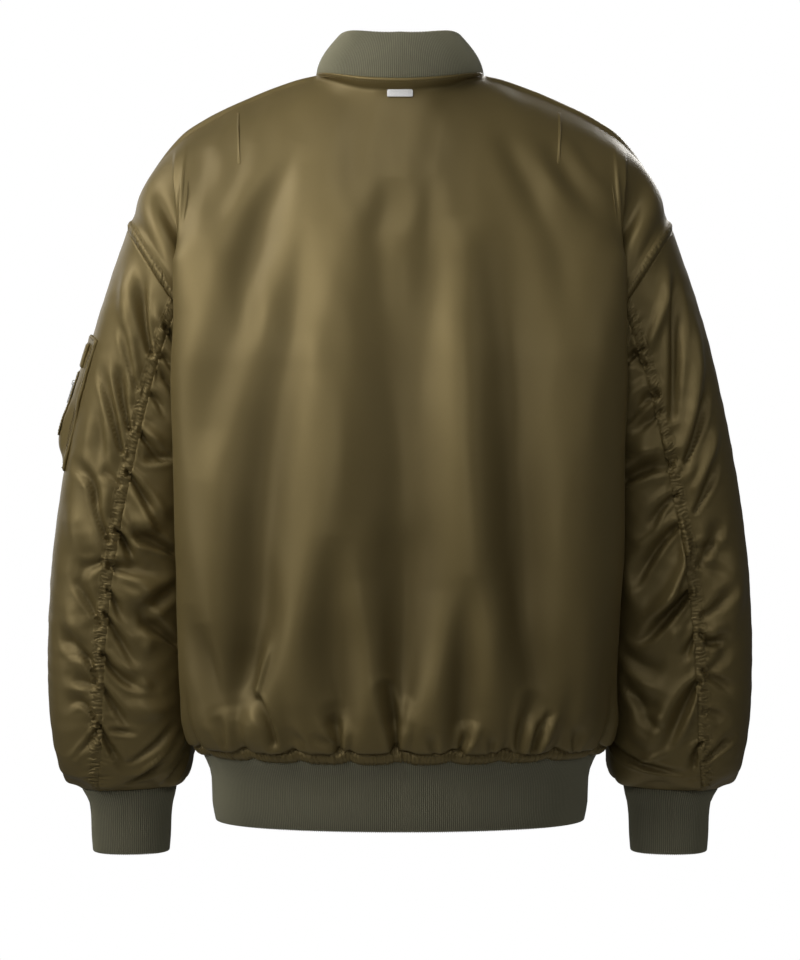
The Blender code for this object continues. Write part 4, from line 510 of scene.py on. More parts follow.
def spline(knots, values, at):
    """A smooth curve through the values: cubic pieces whose slopes are those of the neighbours."""
    knots = np.asarray(knots, float)
    values = np.asarray(values, float)
    if knots[0] > knots[-1]:
        knots, values = knots[::-1], values[::-1]
    step = np.diff(knots)
    slope = np.diff(values) / step
    inner = (slope[:-1] * step[1:] + slope[1:] * step[:-1]) / (step[1:] + step[:-1])
    slopes = np.concatenate([[slope[0]], inner, [slope[-1]]])
    at = np.clip(np.asarray(at, float), knots[0], knots[-1])
    i = np.clip(np.searchsorted(knots, at, side="right") - 1, 0, len(step) - 1)
    u = (at - knots[i]) / step[i]
    return cubic(u, values[i], values[i + 1], step[i] * slopes[i], step[i] * slopes[i + 1])


def column(table, name, at, key):
    return spline(table[key], table[name], at)


def smooth(u):
    """From 0 to 1 as u goes from 0 to 1, with soft ends."""
    u = np.clip(u, 0.0, 1.0)
    return u * u * (3 - 2 * u)


def bell(gap, width):
    """1 where there is no gap, and less and less over a few widths."""
    return np.exp(-((gap / width) ** 2))


def unit(ways):
    return ways / np.linalg.norm(ways, axis=-1, keepdims=True)


def bezier(a, b, c, d, u):
    u = np.asarray(u, float)[:, None]
    return (1 - u) ** 3 * a + 3 * (1 - u) ** 2 * u * b + 3 * (1 - u) * u**2 * c + u**3 * d


def lengths(points, axis=0):
    """How far along each row or column of a grid its points are."""
    gap = np.linalg.norm(np.diff(points, axis=axis), axis=-1)
    zero = np.zeros_like(np.take(gap, [0], axis=axis))
    return np.concatenate([zero, np.cumsum(gap, axis=axis)], axis=axis)


def even(points, shares):
    """Points of a polyline at these shares of its length."""
    along = lengths(points)
    at = np.asarray(shares) * along[-1]
    return np.stack([np.interp(at, along, points[:, k]) for k in range(points.shape[1])], axis=1)


def graded(length, step, first=True, last=True):
    """Shares of a length, closer together at its ends."""
    edge = np.cumsum((0.0,) + EDGE_STEPS)
    head = edge if first else edge[:1]
    tail = length - (edge if last else edge[:1])[::-1]
    count = max(2, round((tail[0] - head[-1]) / step) + 1)
    return np.concatenate([head, np.linspace(head[-1], tail[0], count)[1:-1], tail]) / length


# ---- the body's plain surface
def torso_arc(z, side, shares):
    """Points of the torso's section at height z from the centre line to the side seam, on +X."""
    name = "back" if side > 0 else "front"
    keys = (f"{name}_y", f"{name}_lobe_x", f"{name}_lobe_y", "side_x")
    centre_y, lobe_x, lobe_y, side_x = (float(spline(TORSO["z"], TORSO[key], z)) for key in keys)
    centre = np.array([0.0, centre_y])
    lobe = np.array([lobe_x, lobe_y])
    seam = np.array([side_x, 0.0])
    leave = np.array([RING_ROUNDNESS * lobe_x, centre_y])
    arrive = np.array([lobe_x, lobe_y + RING_ROUNDNESS * (centre_y - lobe_y)])
    corner = bezier(centre, leave, arrive, lobe, np.linspace(0, 1, 600))
    reach = np.array([0.0, lobe_y])
    leave, arrive = lobe - LOBE_ROUNDNESS * reach, seam + SIDE_FLATNESS * reach
    flank = bezier(lobe, leave, arrive, seam, np.linspace(0, 1, 300))
    flat = even(np.concatenate([corner, flank[1:]]), shares)
    return np.column_stack([flat, np.full(len(flat), z)])


def neck_point(angle):
    """A point of the neck seam. Angle 0 is centre back, 90 the wearer's left, 180 centre front."""
    turn = np.radians(np.asarray(angle, float))
    x = NECK_HALF_WIDTH * np.sin(turn)
    back = np.cos(turn) >= 0
    reach = np.abs(np.cos(turn))
    side_y, side_z = NECK_SIDE
    y = side_y + np.where(back, NECK_BACK[0] - side_y, NECK_FRONT[0] - side_y) * reach
    drop = np.where(back, (NECK_BACK[1] - side_z) * reach**2, (NECK_FRONT[1] - side_z) * reach**1.35)
    return np.stack([x, y, side_z + drop], axis=-1)


def top_edge(side, shares):
    """The upper end of a body panel: round the neck, then along the shoulder seam to the tip."""
    shares = np.asarray(shares, float)
    turn = np.clip(shares / NECK_SHARE, 0, 1) * 90.0
    neck = neck_point(turn if side > 0 else 180.0 - turn)
    dense = np.linspace(SHOULDER_LINE["x"][0], SHOULDER_LINE["x"][-1], 800)
    leaves = SHOULDER_SEAM["leaves"]
    back = SHOULDER_SEAM["y"] - NECK_SIDE[0]
    seam_y = NECK_SIDE[0] + back * smooth((dense - dense[0]) / SHOULDER_SEAM["reached"])
    seam_y *= 1 - smooth((dense - leaves) / (SHOULDER_TIP[0] - leaves))
    line = np.column_stack([dense, seam_y, column(SHOULDER_LINE, "z", dense, "x")])
    shoulder = even(line, np.clip((shares - NECK_SHARE) / (1 - NECK_SHARE), 0, 1))
    return np.where((shares <= NECK_SHARE)[:, None], neck, shoulder)


def softened_top(side, shares):
    """The same without the corner where the neck meets the shoulder seam."""
    spots = np.linspace(-NECK_CORNER, NECK_CORNER, 25)
    weights = np.cos(spots / NECK_CORNER * math.pi / 2) ** 2
    total = 0
    for spot, weight in zip(spots, weights):
        place = shares + spot * smooth((1 - shares) / 0.3)
        hand = np.where(place < 0, -1, 1)[:, None] ** (1, 0, 0)
        total = total + weight * top_edge(side, np.abs(place)) * hand
    return total / weights.sum()


def armhole(angle):
    """A point of the armhole seam. Angle 0 is the shoulder tip, 90 its back, 180 the underarm."""
    turn = np.radians(np.asarray(angle, float))[..., None]
    middle = (SHOULDER_TIP + UNDERARM) / 2
    across = (SHOULDER_TIP - UNDERARM) / 2
    return middle + np.cos(turn) * across + np.sin(turn) * np.array([0.0, ARMHOLE_HALF_DEPTH, 0.0])


def chest_to_shoulder(side, shares, rises):
    """Rows of a body panel above the underarm, from 0 there to 1 at the neck and the shoulder seam."""
    name, arrive = ("back", ARRIVE_BACK) if side > 0 else ("front", ARRIVE_FRONT)
    zero = np.zeros(len(shares))
    below = torso_arc(UNDERARM_Z - SLOPE_STEP, side, shares)
    slope = (torso_arc(UNDERARM_Z, side, shares) - below) / SLOPE_STEP
    leave = slope * column(RISE, name, shares, "share")[:, None]
    down, over = (column(arrive, axis, shares, "share") for axis in "yz")
    reach = np.stack([zero, down, over], axis=1)
    chest, top = torso_arc(UNDERARM_Z, side, shares), top_edge(side, shares)
    pull = smooth((shares - LOBE_SHARE) / (1 - LOBE_SHARE))[:, None]
    soft = softened_top(side, shares)
    rows = []
    for rise in rises:
        corner = smooth((rise - 1) / NECK_CORNER_REACH + 1) ** 2
        row = cubic(rise, chest, soft + (top - soft) * corner, leave, reach)
        row = row + pull * (armhole(side * 180.0 * (1 - rise)) - row[-1])
        rows.append(row)
    return rows


def outward(points, inside):
    """Unit normals of a grid, all on the side away from these points inside it."""
    normal = np.cross(np.gradient(points, axis=0), np.gradient(points, axis=1))
    normal /= np.maximum(np.linalg.norm(normal, axis=2, keepdims=True), 1e-12)
    return normal if ((points - inside) * normal).sum() > 0 else -normal


def outward_round(points, inside):
    """The same for a grid whose last column is next to its first."""
    return outward(np.concatenate([points[:, -1:], points, points[:, :1]], axis=1), inside)[:, 1:-1]


# ---- relief
def long_lines(folds):
    """Each long fold as the points along it, with its depth and width there, and its lean."""
    for *points, lean in folds:
        points = np.array(points) * MM
        knots = lengths(points[:, :2])
        at = np.linspace(0, knots[-1], 6 * len(points))
        smoothed = np.stack([spline(knots, points[:, k], at) for k in range(4)], axis=1)
        yield smoothed[:, :2], smoothed[:, 2], smoothed[:, 3], lean


def short_lines(folds):
    """The same for short creases."""
    u = np.linspace(0, 1, FOLD_POINTS)
    for x0, z0, x1, z1, x2, z2, depth, width, from_end, to_end, lean in folds:
        start, middle, end = np.array([x0, z0]), np.array([x1, z1]), np.array([x2, z2])
        bend = 2 * middle - (start + end) / 2
        way = u[:, None]
        line = (1 - way) ** 2 * start + 2 * (1 - way) * way * bend + way**2 * end
        left = np.where(u < 0.5, from_end, to_end)
        spread = width * (1 + WIDEN * (from_end - to_end) * (u - 0.5))
        yield line, depth * (left + (1 - left) * np.sin(np.pi * u)), spread, lean


def relief_of(lines, here):
    """How far the folds push the cloth out at these places."""
    flat = here.reshape(-1, 2)
    push = np.zeros(len(flat))
    for line, depth, width, lean in lines:
        reach = FOLD_REACH * width.max() * (1 + abs(lean))
        inside = (flat > line.min(axis=0) - reach) & (flat < line.max(axis=0) + reach)
        near = np.flatnonzero(inside.all(axis=1))
        spot = flat[near]
        gap = np.full(len(near), np.inf)
        place = np.zeros(len(near))
        hand = np.zeros(len(near))
        for i, (start, step) in enumerate(zip(line, np.diff(line, axis=0))):
            u = np.clip((spot - start) @ step / (step @ step), 0, 1)
            off = spot - start - u[:, None] * step
            far = np.hypot(off[:, 0], off[:, 1])
            closer = far < gap
            gap = np.where(closer, far, gap)
            place = np.where(closer, i + u, place)
            side = (step[0] * off[:, 1] - step[1] * off[:, 0]) / np.maximum(far * np.hypot(*step), 1e-12)
            hand = np.where(closer, side, hand)
        spread = np.interp(place, np.arange(len(line)), width) * (1 + lean * hand)
        q = gap / spread
        shape = bell(q, 1.0)
        if depth.min() < 0 and width.max() < WIDEST_WITH_SHOULDERS:
            lip = SHOULDER_OF_FOLD
            shape = shape - lip["share"] * bell(q - lip["beyond"], lip["width"])
        push[near] += np.interp(place, np.arange(len(line)), depth) * shape
    return push.reshape(here.shape[:-1])


def rumple(here, count, shortest, longest, slant, spread):
    """A faint unevenness: waves of these lengths that cross the cloth at about this angle."""
    push = np.zeros(here.shape[:-1])
    for _ in range(count):
        turn = math.radians(rng.normal(slant, spread))
        wave = 2 * math.pi / rng.uniform(shortest, longest)
        along = here[..., 0] * math.cos(turn) + here[..., 1] * math.sin(turn)
        push += np.sin(wave * along + rng.uniform(0, 6.28))
    return push / math.sqrt(count)


def crumple(here, *waves):
    """The same with sharp low ridges between rounded hollows, as in thin crisp cloth."""
    return 0.6 - np.sqrt(rumple(here, *waves) ** 2 + 0.02)


def gathered_at(side, shares):
    """How much of a tuck there is at each place along the hem."""
    return sum(bell(shares - place, TUCK["width"]) for place in HEM_TUCKS["back" if side > 0 else "front"])


def tucks_at(side, shares, z):
    """The gathers above the hem seam: narrow tucks, with the cloth between them blown out."""
    rise = bell(z - HEM_Z - TUCK["middle"], TUCK["rise"]) * smooth((z - HEM_Z) / 0.01)
    return (TUCK["blown"] - gathered_at(side, shares)) * TUCK["depth"] * rise


def hem_wave(side, shares):
    """The hem seam rises a little at each tuck."""
    return HEM_LIFT * gathered_at(side, shares) * smooth((1 - shares) / 0.1)


def seam_dip(*gaps):
    """How far the cloth lies lower at these distances from its seams."""
    return -SEAM_DIP * sum(bell(gap, SEAM_DIP_WIDTH) for gap in gaps)


# ---- pieces of cloth as grids
class Panel:
    """A cut piece: its plain surface, the way out of it, and how far each point is pushed that way."""

    def __init__(self, plain, out, push):
        self.plain, self.out, self.push = plain, out, push
        self.across, self.along = lengths(plain, 1), lengths(plain, 0)

    @property
    def face(self):
        return self.plain + self.out * self.push[..., None]

    def mirrored(self, push):
        return Panel(self.plain * FLIP, self.out * FLIP, push)


def body_grid(side):
    """Shares of the way across half the back or a front, levels below the underarm, and rises above it."""
    step = STEP if side > 0 else FRONT_STEP
    shares = graded(0.3, step, side < 0, True)
    if side < 0:
        shares = FRONT_EDGE_SHARE + (1 - FRONT_EDGE_SHARE) * shares
    return shares, graded(UNDERARM_Z - HEM_Z, step, True, False), graded(CHEST_RISE, step, False, True)[1:]


def armhole_span(side):
    """The part of a side edge that is in the armhole, in shares of its points."""
    _, levels, rises = body_grid(side)
    return (len(levels) - 1) / (len(levels) + len(rises) - 1), 1.0


def body_half(side):
    """The plain surface of half the back or of a front, on +X, with each row's rise above the underarm."""
    shares, levels, rises = body_grid(side)
    rows = []
    for level in levels:
        row = torso_arc(HEM_Z + level * (UNDERARM_Z - HEM_Z), side, shares)
        row[:, 2] += hem_wave(side, shares) * smooth(1 - level / 0.12)
        rows.append(row)
    rows += chest_to_shoulder(side, shares, rises)
    points = np.array(rows)
    if side < 0:
        points[:, 0, 0] = ZIP_HALF
    out = outward(points, BODY_MIDDLE)
    if side > 0:
        out[:, 0, 0] = 0.0
    rise = np.concatenate([(levels - 1) * (UNDERARM_Z - HEM_Z) / CHEST_RISE, rises])
    return points, out / np.linalg.norm(out, axis=2, keepdims=True), shares, rise


def above_hem(side, z, shares, to_hem):
    """The relief of the body just above the rib: the tucks, the blown-out cloth and the stitched line."""
    above = to_hem - HEM_PUFF["starts"]
    puff = HEM_PUFF["height"] * smooth(above / HEM_PUFF["over"])
    puff *= np.exp(-np.maximum(above, 0) / HEM_PUFF["fades"])
    line = HEM_LINE["depth"] * bell(to_hem - HEM_LINE["from_seam"], HEM_LINE["width"])
    return tucks_at(side, shares, z) * smooth((1 - shares) / 0.06) + puff - line


def at_the_sides(z, shares, rise, to_side):
    """The crease and fold down each side of the body, the flat shoulder beyond them, and the waist."""
    starts, ends = SIDE_CREASE["low"], SIDE_CREASE["high"]
    crease = smooth((rise - starts[0]) / starts[1]) * smooth((ends[0] - rise) / ends[1])
    shift = smooth((rise - 0.35) / 0.3) - bell(rise - 0.17, 0.13)
    beyond = shares - LOBE_SHARE - EDGE_FOLD["shift"] * shift[:, None]
    ridge = SIDE_CREASE["ridge"] * (0.6 * bell(beyond, 0.045) + 0.4 * np.exp(-np.abs(beyond) / 0.018))
    valley = SIDE_CREASE["valley"] * bell(beyond - 0.11, 0.06)
    fold = EDGE_FOLD["height"] * (1 - smooth(beyond / EDGE_FOLD["fall"]))
    fold *= np.exp(-np.maximum(-beyond, 0) / EDGE_FOLD["spread"])
    dropped = bell(z - DROPPED["z"], DROPPED["reach"]) * smooth(to_side / 0.02)
    level = DROPPED["raised"] * bell(beyond - 0.145, 0.05) - DROPPED["lowered"] * bell(beyond - 0.245, 0.045)
    waist = bell(shares - DRAWN_IN["share"], DRAWN_IN["spread"]) * bell(z - DRAWN_IN["z"], DRAWN_IN["reach"])
    return crease[:, None] * (ridge - valley + fold) + dropped * level - DRAWN_IN["depth"] * waist


def body_panel(side, plain, out, shares, rise, moved=0.0):
    """The back or a front, with its folds moved by this much."""
    panel = Panel(plain, out, np.zeros(plain.shape[:2]))
    to_side = panel.across[:, -1:] - panel.across
    if side > 0:
        to_side = np.minimum(panel.across, to_side)
    to_top, to_hem = panel.along[-1:] - panel.along, panel.along
    folds, creases = (BACK_FOLDS, BACK_CREASES) if side > 0 else (FRONT_FOLDS, FRONT_CREASES)
    z = plain[..., 2] - moved
    here = np.stack([plain[..., 0] + moved, z], axis=-1)
    place = shares[None] + np.zeros(z.shape)
    push = relief_of(long_lines(folds), here) * smooth((1 - np.maximum(rise, 0.0)) / 0.15)[:, None]
    push *= smooth((z - HEM_Z - 0.002) / 0.02) * smooth((1 - place) / 0.22)
    push += above_hem(side, z, place, to_hem) + at_the_sides(z, place, rise, to_side)
    fine = CREASE_STRENGTH * relief_of(short_lines(creases), here)
    fine += BODY_RUMPLE[0] * rumple(here, *BODY_RUMPLE[1:])
    fine += BODY_CRUMPLE[0] * crumple(here, *BODY_CRUMPLE[1:])
    edge = smooth(to_side / 0.008) * smooth(to_top / 0.008) * smooth(to_hem / 0.006)
    panel.push = push + fine * edge + seam_dip(to_side, to_top, to_hem)
    return panel


def evened(plain, out, shares, rise):
    """How far the cloth below the neck moves when the corners of the plain surface there are evened out."""
    low, high = EVENED["rise"]
    near, far = EVENED["share"]
    keep = smooth((rise - low) / (high - low))[:, None] * smooth((far - shares) / (far - near))[None]
    first = int(np.argmax(rise > low)) - 1
    keep = EVENED["strength"] * keep[first + 1:-1, 1:-1, None]
    down = 1 / np.diff(lengths(plain[first:, plain.shape[1] // 2]))[:, None, None]
    aside = 1 / np.diff(lengths(plain[first]))[None, :, None]
    total = down[1:] + down[:-1]
    total_aside = aside[:, 1:] + aside[:, :-1]
    push = np.zeros(plain.shape[:2])
    for passes in EVENED["passes"]:
        face = (plain + out * push[..., None])[first:]
        points = face.copy()
        for _ in range(passes):
            along = (points[2:, 1:-1] * down[1:] + points[:-2, 1:-1] * down[:-1]) / total
            across = (points[1:-1, 2:] * aside[:, 1:] + points[1:-1, :-2] * aside[:, :-1]) / total_aside
            points[1:-1, 1:-1] += keep * ((along + across) / 2 - points[1:-1, 1:-1])
        push[first:] += ((points - face) * out[first:]).sum(axis=2)
    return push * smooth((1 - rise) / 0.06)[:, None]


def back_piece():
    half, out, shares, rise = body_half(1)
    plain, out = (np.concatenate([grid[:, :0:-1] * FLIP, grid], axis=1) for grid in (half, out))
    shares = np.concatenate([shares[:0:-1], shares])
    panel = body_panel(1, plain, out, shares, rise)
    panel.push += evened(plain, out, shares, rise)
    return panel


def front_piece(hand):
    panel = body_panel(-1, *body_half(-1), 0.0 if hand > 0 else FRONTS_APART)
    edge = panel.across
    doubled = smooth(edge / FRONT_EDGE["over"]) * smooth((FRONT_EDGE["width"] - edge) / FRONT_EDGE["fall"])
    panel.push += FRONT_EDGE["rise"] * doubled - FRONT_EDGE["dip"] * bell(edge, FRONT_EDGE["dip_width"])
    return panel if hand > 0 else panel.mirrored(panel.push)


# ---- the sleeves
def sleeve_value(name, along):
    return spline(np.linspace(0, 1, len(SLEEVE[name])), SLEEVE[name], along)


def seam_turn(name, along):
    """The angle of a seam, round the sleeve from its outer edge."""
    return spline(SLEEVE_SEAMS["along"], SLEEVE_SEAMS[name], along)


def sleeve_edges(along):
    """The outermost and the innermost points of the sleeve at these shares of its length."""
    for name in ("outer", "inner"):
        x, z = sleeve_value(f"{name}_x", along), sleeve_value(f"{name}_z", along)
        yield np.stack([x, 0 * along, z], axis=1)


def sleeve_columns(part):
    """The angles, at the armhole, of the columns of an outer or under sleeve, from back seam to front."""
    end = ARMHOLE_FRONT - 360.0 if part == "outer" else ARMHOLE_FRONT
    return ARMHOLE_BACK + (end - ARMHOLE_BACK) * graded(SLEEVE_WIDTHS[part], SLEEVE_STEP)


def sleeve_angle(angle, along):
    """The seams wander round the sleeve as it goes down, and what lies between them goes along."""
    back, front = seam_turn("back", along), seam_turn("front", along)
    knots = (front[()] - 360.0, 0.0, back[()], 180.0, front[()])
    return np.interp(angle, (ARMHOLE_FRONT - 360.0, 0.0, ARMHOLE_BACK, 180.0, ARMHOLE_FRONT), knots)


def squarer(turn, along):
    """How far the section of a sleeve stands out beyond the oval, at this turn."""
    power = 2 + SLEEVE_SQUARENESS * smooth(along / 0.18) * smooth((1 - along) / 0.15)
    return (np.abs(np.cos(turn)) ** power + np.abs(np.sin(turn)) ** power) ** (-1 / power)


def on_sleeve(x, z):
    """The turn from the outer edge, and the share of the length, of the sleeve's point with this x and z."""
    along = np.linspace(0, 1, 400)
    outer, inner = (edge[:, ::2] for edge in sleeve_edges(along))
    way, gap = inner - outer, np.array([x, z]) - outer
    above = way[:, 0] * gap[:, 1] - way[:, 1] * gap[:, 0]
    cross = np.flatnonzero(np.diff(np.sign(above)) != 0)
    i = cross[0] if len(cross) else int(np.abs(above).argmin())
    share = (way[i] @ gap[i]) / (way[i] @ way[i])
    turns = np.linspace(math.pi, 0, 200)
    return float(np.interp(1 - 2 * share, np.cos(turns) * squarer(turns, along[i]), turns)), float(along[i])


def turned_over(turn, along):
    """The turn in front of a sleeve that answers to this one behind it."""
    back, front = (math.radians(float(seam_turn(name, along))) for name in ("back", "front"))
    if turn < back:
        return 2 * math.pi - turn * (2 * math.pi - front) / back
    return math.pi + (math.pi - turn) * (front - math.pi) / (math.pi - back)


def sleeve_folds(creases, front):
    """The creases of a sleeve in lengths round and along it. Those in front are those behind, turned over."""
    for *places, depth, width, from_end, to_end, lean in creases:
        ends = []
        for x, z in zip(places[::2], places[1::2]):
            turn, along = on_sleeve(x, z)
            turn = turned_over(turn, along) if front else turn
            ends += [turn * SLEEVE_RADIUS, along * SLEEVE_LENGTH]
        yield (*ends, depth, width, from_end, to_end, lean if front else -lean)


def seam_drags(name, side_of_seam):
    """Small uneven creases that leave a ruched sleeve seam, on one side of it."""
    place, margin = DRAG["margins"]
    while place < SLEEVE_LENGTH - margin:
        turn = math.radians(float(seam_turn(name, place / SLEEVE_LENGTH))) * SLEEVE_RADIUS
        length, depth, width = (rng.uniform(*DRAG[key]) for key in ("length", "depth", "width"))
        slant = math.radians(rng.normal(*DRAG["slant"]))
        away = side_of_seam * length * math.cos(slant)
        down = length * math.sin(slant)
        middle, end = (turn + away * 0.55, place + down * 0.4), (turn + away, place + down)
        yield (turn, place, *middle, *end, -depth, width, 1.0, 0.1, 0.2)
        place += rng.uniform(*DRAG["pitch"])


def sleeve_surface(around, along):
    """The plain surface of a sleeve, the way out of it, and the turn of each point from its outer edge."""
    turn = np.radians(np.array([sleeve_angle(around, v) for v in along]))
    outer, inner = sleeve_edges(along)
    middle = (outer + inner) / 2 + np.outer(sleeve_value("middle_y", along), [0, 1, 0])
    wider = squarer(turn, along[:, None])
    plain = middle[:, None] + (np.cos(turn) * wider)[..., None] * ((outer - inner) / 2)[:, None]
    plain[..., 1] += np.sin(turn) * wider * sleeve_value("half_y", along)[:, None]
    return plain, outward_round(plain, middle[:, None]), np.where(turn < 0, turn + 2 * math.pi, turn)


def sleeve_pieces(hand):
    """The outer and the under sleeve, cut from one closed ring so that their seams meet."""
    outer_angles = sleeve_columns("outer")
    around = np.concatenate([outer_angles, sleeve_columns("under")[-2:0:-1]])
    along = graded(SLEEVE_LENGTH, SLEEVE_STEP)
    plain, out, turn = sleeve_surface(around, along)
    share = along[:, None] + 0 * turn
    here = np.stack([turn * SLEEVE_RADIUS, share * SLEEVE_LENGTH], axis=-1)
    mine, other = (LEFT_SLEEVE_CREASES, RIGHT_SLEEVE_CREASES)[::hand]
    lines = list(short_lines([*sleeve_folds(mine, False), *sleeve_folds(other, True)]))
    once_round = 2 * math.pi * SLEEVE_RADIUS
    push = relief_of(lines, here) + relief_of(lines, here - [once_round, 0.0])
    push *= smooth(share / 0.07) * smooth((1 - share) / 0.06)
    gathers = np.cos(turn * GATHERS["count"]) * bell(share - GATHERS["along"], GATHERS["spread"])
    push += GATHERS["depth"] * gathers * smooth((1 - share) / 0.09)
    grain = np.stack([plain[..., 0] + plain[..., 1], plain[..., 2]], axis=-1)
    uneven = sum(height * crumple(grain, *waves) for height, *waves in (SLEEVE_CRUMPLE, SLEEVE_HOLLOWS))
    push += uneven * smooth(share / 0.05) * smooth((1 - share) / 0.05)
    pieces = []
    count = len(outer_angles)
    for pick, away in ((slice(0, count), 1), (np.r_[0, np.arange(turn.shape[1] - 1, count - 2, -1)], -1)):
        panel = Panel(plain[:, pick], out[:, pick], push[:, pick])
        to_back, to_front = panel.across, panel.across[:, -1:] - panel.across
        small = sum(
            relief_of(short_lines(seam_drags(name, side_of_seam)), here[:, pick])
            for name, side_of_seam in (("back", -away), ("front", away))
        )
        panel.push = panel.push * smooth(np.minimum(to_back, to_front) / 0.004 + 0.35) + small
        panel.push += seam_dip(to_back, to_front, panel.along, panel.along[-1:] - panel.along)
        pieces.append(panel if hand > 0 else panel.mirrored(panel.push))
    return pieces


# ---- meshes
def link(name, mesh, material):
    mesh.materials.append(material)
    made = bpy.data.objects.new(name, mesh)
    bpy.context.scene.collection.objects.link(made)
    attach(made, "jacket")
    return made


def new_mesh(name, points, faces, uv=None, relief=None):
    mesh = bpy.data.meshes.new(name)
    mesh.from_pydata(np.asarray(points).tolist(), [], faces)
    if uv is not None:
        corners = np.empty(len(mesh.loops), np.int32)
        mesh.loops.foreach_get("vertex_index", corners)
        layer = mesh.uv_layers.new(name="cloth")
        layer.data.foreach_set("uv", uv[corners].astype(np.float32).ravel())
    if relief is not None:
        layer = mesh.attributes.new("relief", "FLOAT", "POINT")
        layer.data.foreach_set("value", relief.astype(np.float32))
    mesh.shade_smooth()
    mesh.update()
    return mesh


def grid_faces(index, turned):
    """Quads between the rows and columns of a grid of point numbers."""
    a, b = index[:-1, :-1], index[:-1, 1:]
    c, d = index[1:, 1:], index[1:, :-1]
    quads = np.stack([a, d, c, b] if turned else [a, b, c, d], axis=-1)
    return quads.reshape(-1, 4).tolist()


def is_turned(grid, out, column=0):
    """Whether the faces of a grid have to be turned to look this way."""
    corner = grid[0, column]
    return np.cross(grid[1, column] - corner, grid[0, column + 1] - corner) @ out > 0


def numbered(rows, columns):
    return np.arange(rows * columns).reshape(rows, columns)


def end_faces(first, last, turned):
    """The two faces that fill the ends of a tube."""
    return [first[::1 if turned else -1].tolist(), last[::-1 if turned else 1].tolist()]


def tube(name, grid, turned, across, along, material, relief=None):
    """A closed strip: each row of its grid goes round it, and across and along are where its columns and rows
    lie on the cloth."""
    rows, columns = grid.shape[:2]
    index = numbered(rows, columns)
    faces = grid_faces(np.concatenate([index, index[:, :1]], axis=1), turned)
    faces += end_faces(index[0], index[-1], turned)
    uv = np.stack(np.broadcast_arrays(across, along[:, None]), axis=-1).reshape(-1, 2)
    relief = np.zeros(rows * columns) if relief is None else relief.ravel()
    return link(name, new_mesh(name, grid.reshape(-1, 3), faces, uv, relief), material)


def beside(panel, edge, span=(0.0, 1.0)):
    """The cloth beside one edge of a panel: rows away from the edge and columns along it, with each point's
    way out and how far it is from the edge. span is the part of the edge meant, in shares of its points."""
    face, gap = panel.face, panel.across
    out = outward(face, face - panel.out)
    if edge in ("top", "bottom"):
        gap = panel.along
    else:
        face, out, gap = face.swapaxes(0, 1), out.swapaxes(0, 1), gap.swapaxes(0, 1)
    if edge in ("top", "last"):
        face, out, gap = face[::-1], out[::-1], (gap[-1:] - gap)[::-1]
    first, last = (round(share * (face.shape[1] - 1)) for share in span)
    near = slice(0, BESIDE_ROWS), slice(first, last + 1)
    return face[near], out[near], gap[near]


def across_at(side, count, distances):
    """Points and ways out at so many places along an edge and these distances from it."""
    face, out, gap = side
    along = lengths(face[2])
    place = np.interp(np.linspace(0, along[-1], count), along, np.arange(len(along)))
    i = np.minimum(place.astype(int), face.shape[1] - 2)
    u = place - i
    both = np.concatenate([face, out, gap[..., None]], axis=2)
    mixed = both[:, i] * (1 - u)[:, None] + both[:, i + 1] * u[:, None]
    made = np.empty((count, len(distances), 6))
    for k in range(count):
        for axis in range(6):
            made[k, :, axis] = np.interp(distances, mixed[:, k, 6], mixed[:, k, axis])
    return made[..., :3], unit(made[..., 3:])


def puckers(length, style, distances, strength=None):
    """How deep the puckers of a band are, for each place along it and each distance from the seam."""
    places = np.arange(0, length, style.get("step", BAND_STEP))
    push = np.zeros((len(places), len(distances)))
    width = style["width"]
    u = distances / width
    at = 0.0
    while at < length:
        depth = rng.uniform(*style["depth"]) * (1.0 if strength is None else float(strength(at / length)))
        slant = rng.normal(0.0, style["slant"])
        bend = rng.normal(0.0, 0.5)
        wide = rng.uniform(*style["wide"])
        begins, ends = rng.choice([0.0, 0.0, 0.25]), rng.choice([1.0, 1.0, 1.0, 0.7])
        line = at + slant * (u - 0.5) * width * 0.5 + bend * (u * (1 - u)) * width
        there = smooth((u - begins) / 0.2 + 0.5) * smooth((ends - u) / 0.2 + 0.8)
        near = np.flatnonzero(np.abs(places - at) < PUCKER_REACH)
        off = places[near, None] - line[None]
        push[near] += depth * there * (PUCKER_RIDGE * bell(off - 1.9 * wide, wide) - bell(off, wide))
        at += rng.uniform(*style["pitch"])
    return push * smooth(1 - (distances - width) / style["fade"])


def band_height(style, distances):
    """How far a topstitched band stands out of the cloth at these distances from the seam."""
    width, fade = style["width"], style["fade"]
    height = style["rise"] * smooth(distances / 0.0008) * smooth((width + 0.0004 - distances) / 0.0012)
    height += 0.00025 * smooth((width + fade - distances) / fade)
    height += style.get("flare", 0.0) * smooth(distances / 0.0008) * smooth((width - distances) / width)
    height[-1] = -0.0004
    for line in style["lines"]:
        height[:-1] -= GROOVE * bell(distances[:-1] - line, GROOVE)
    return height


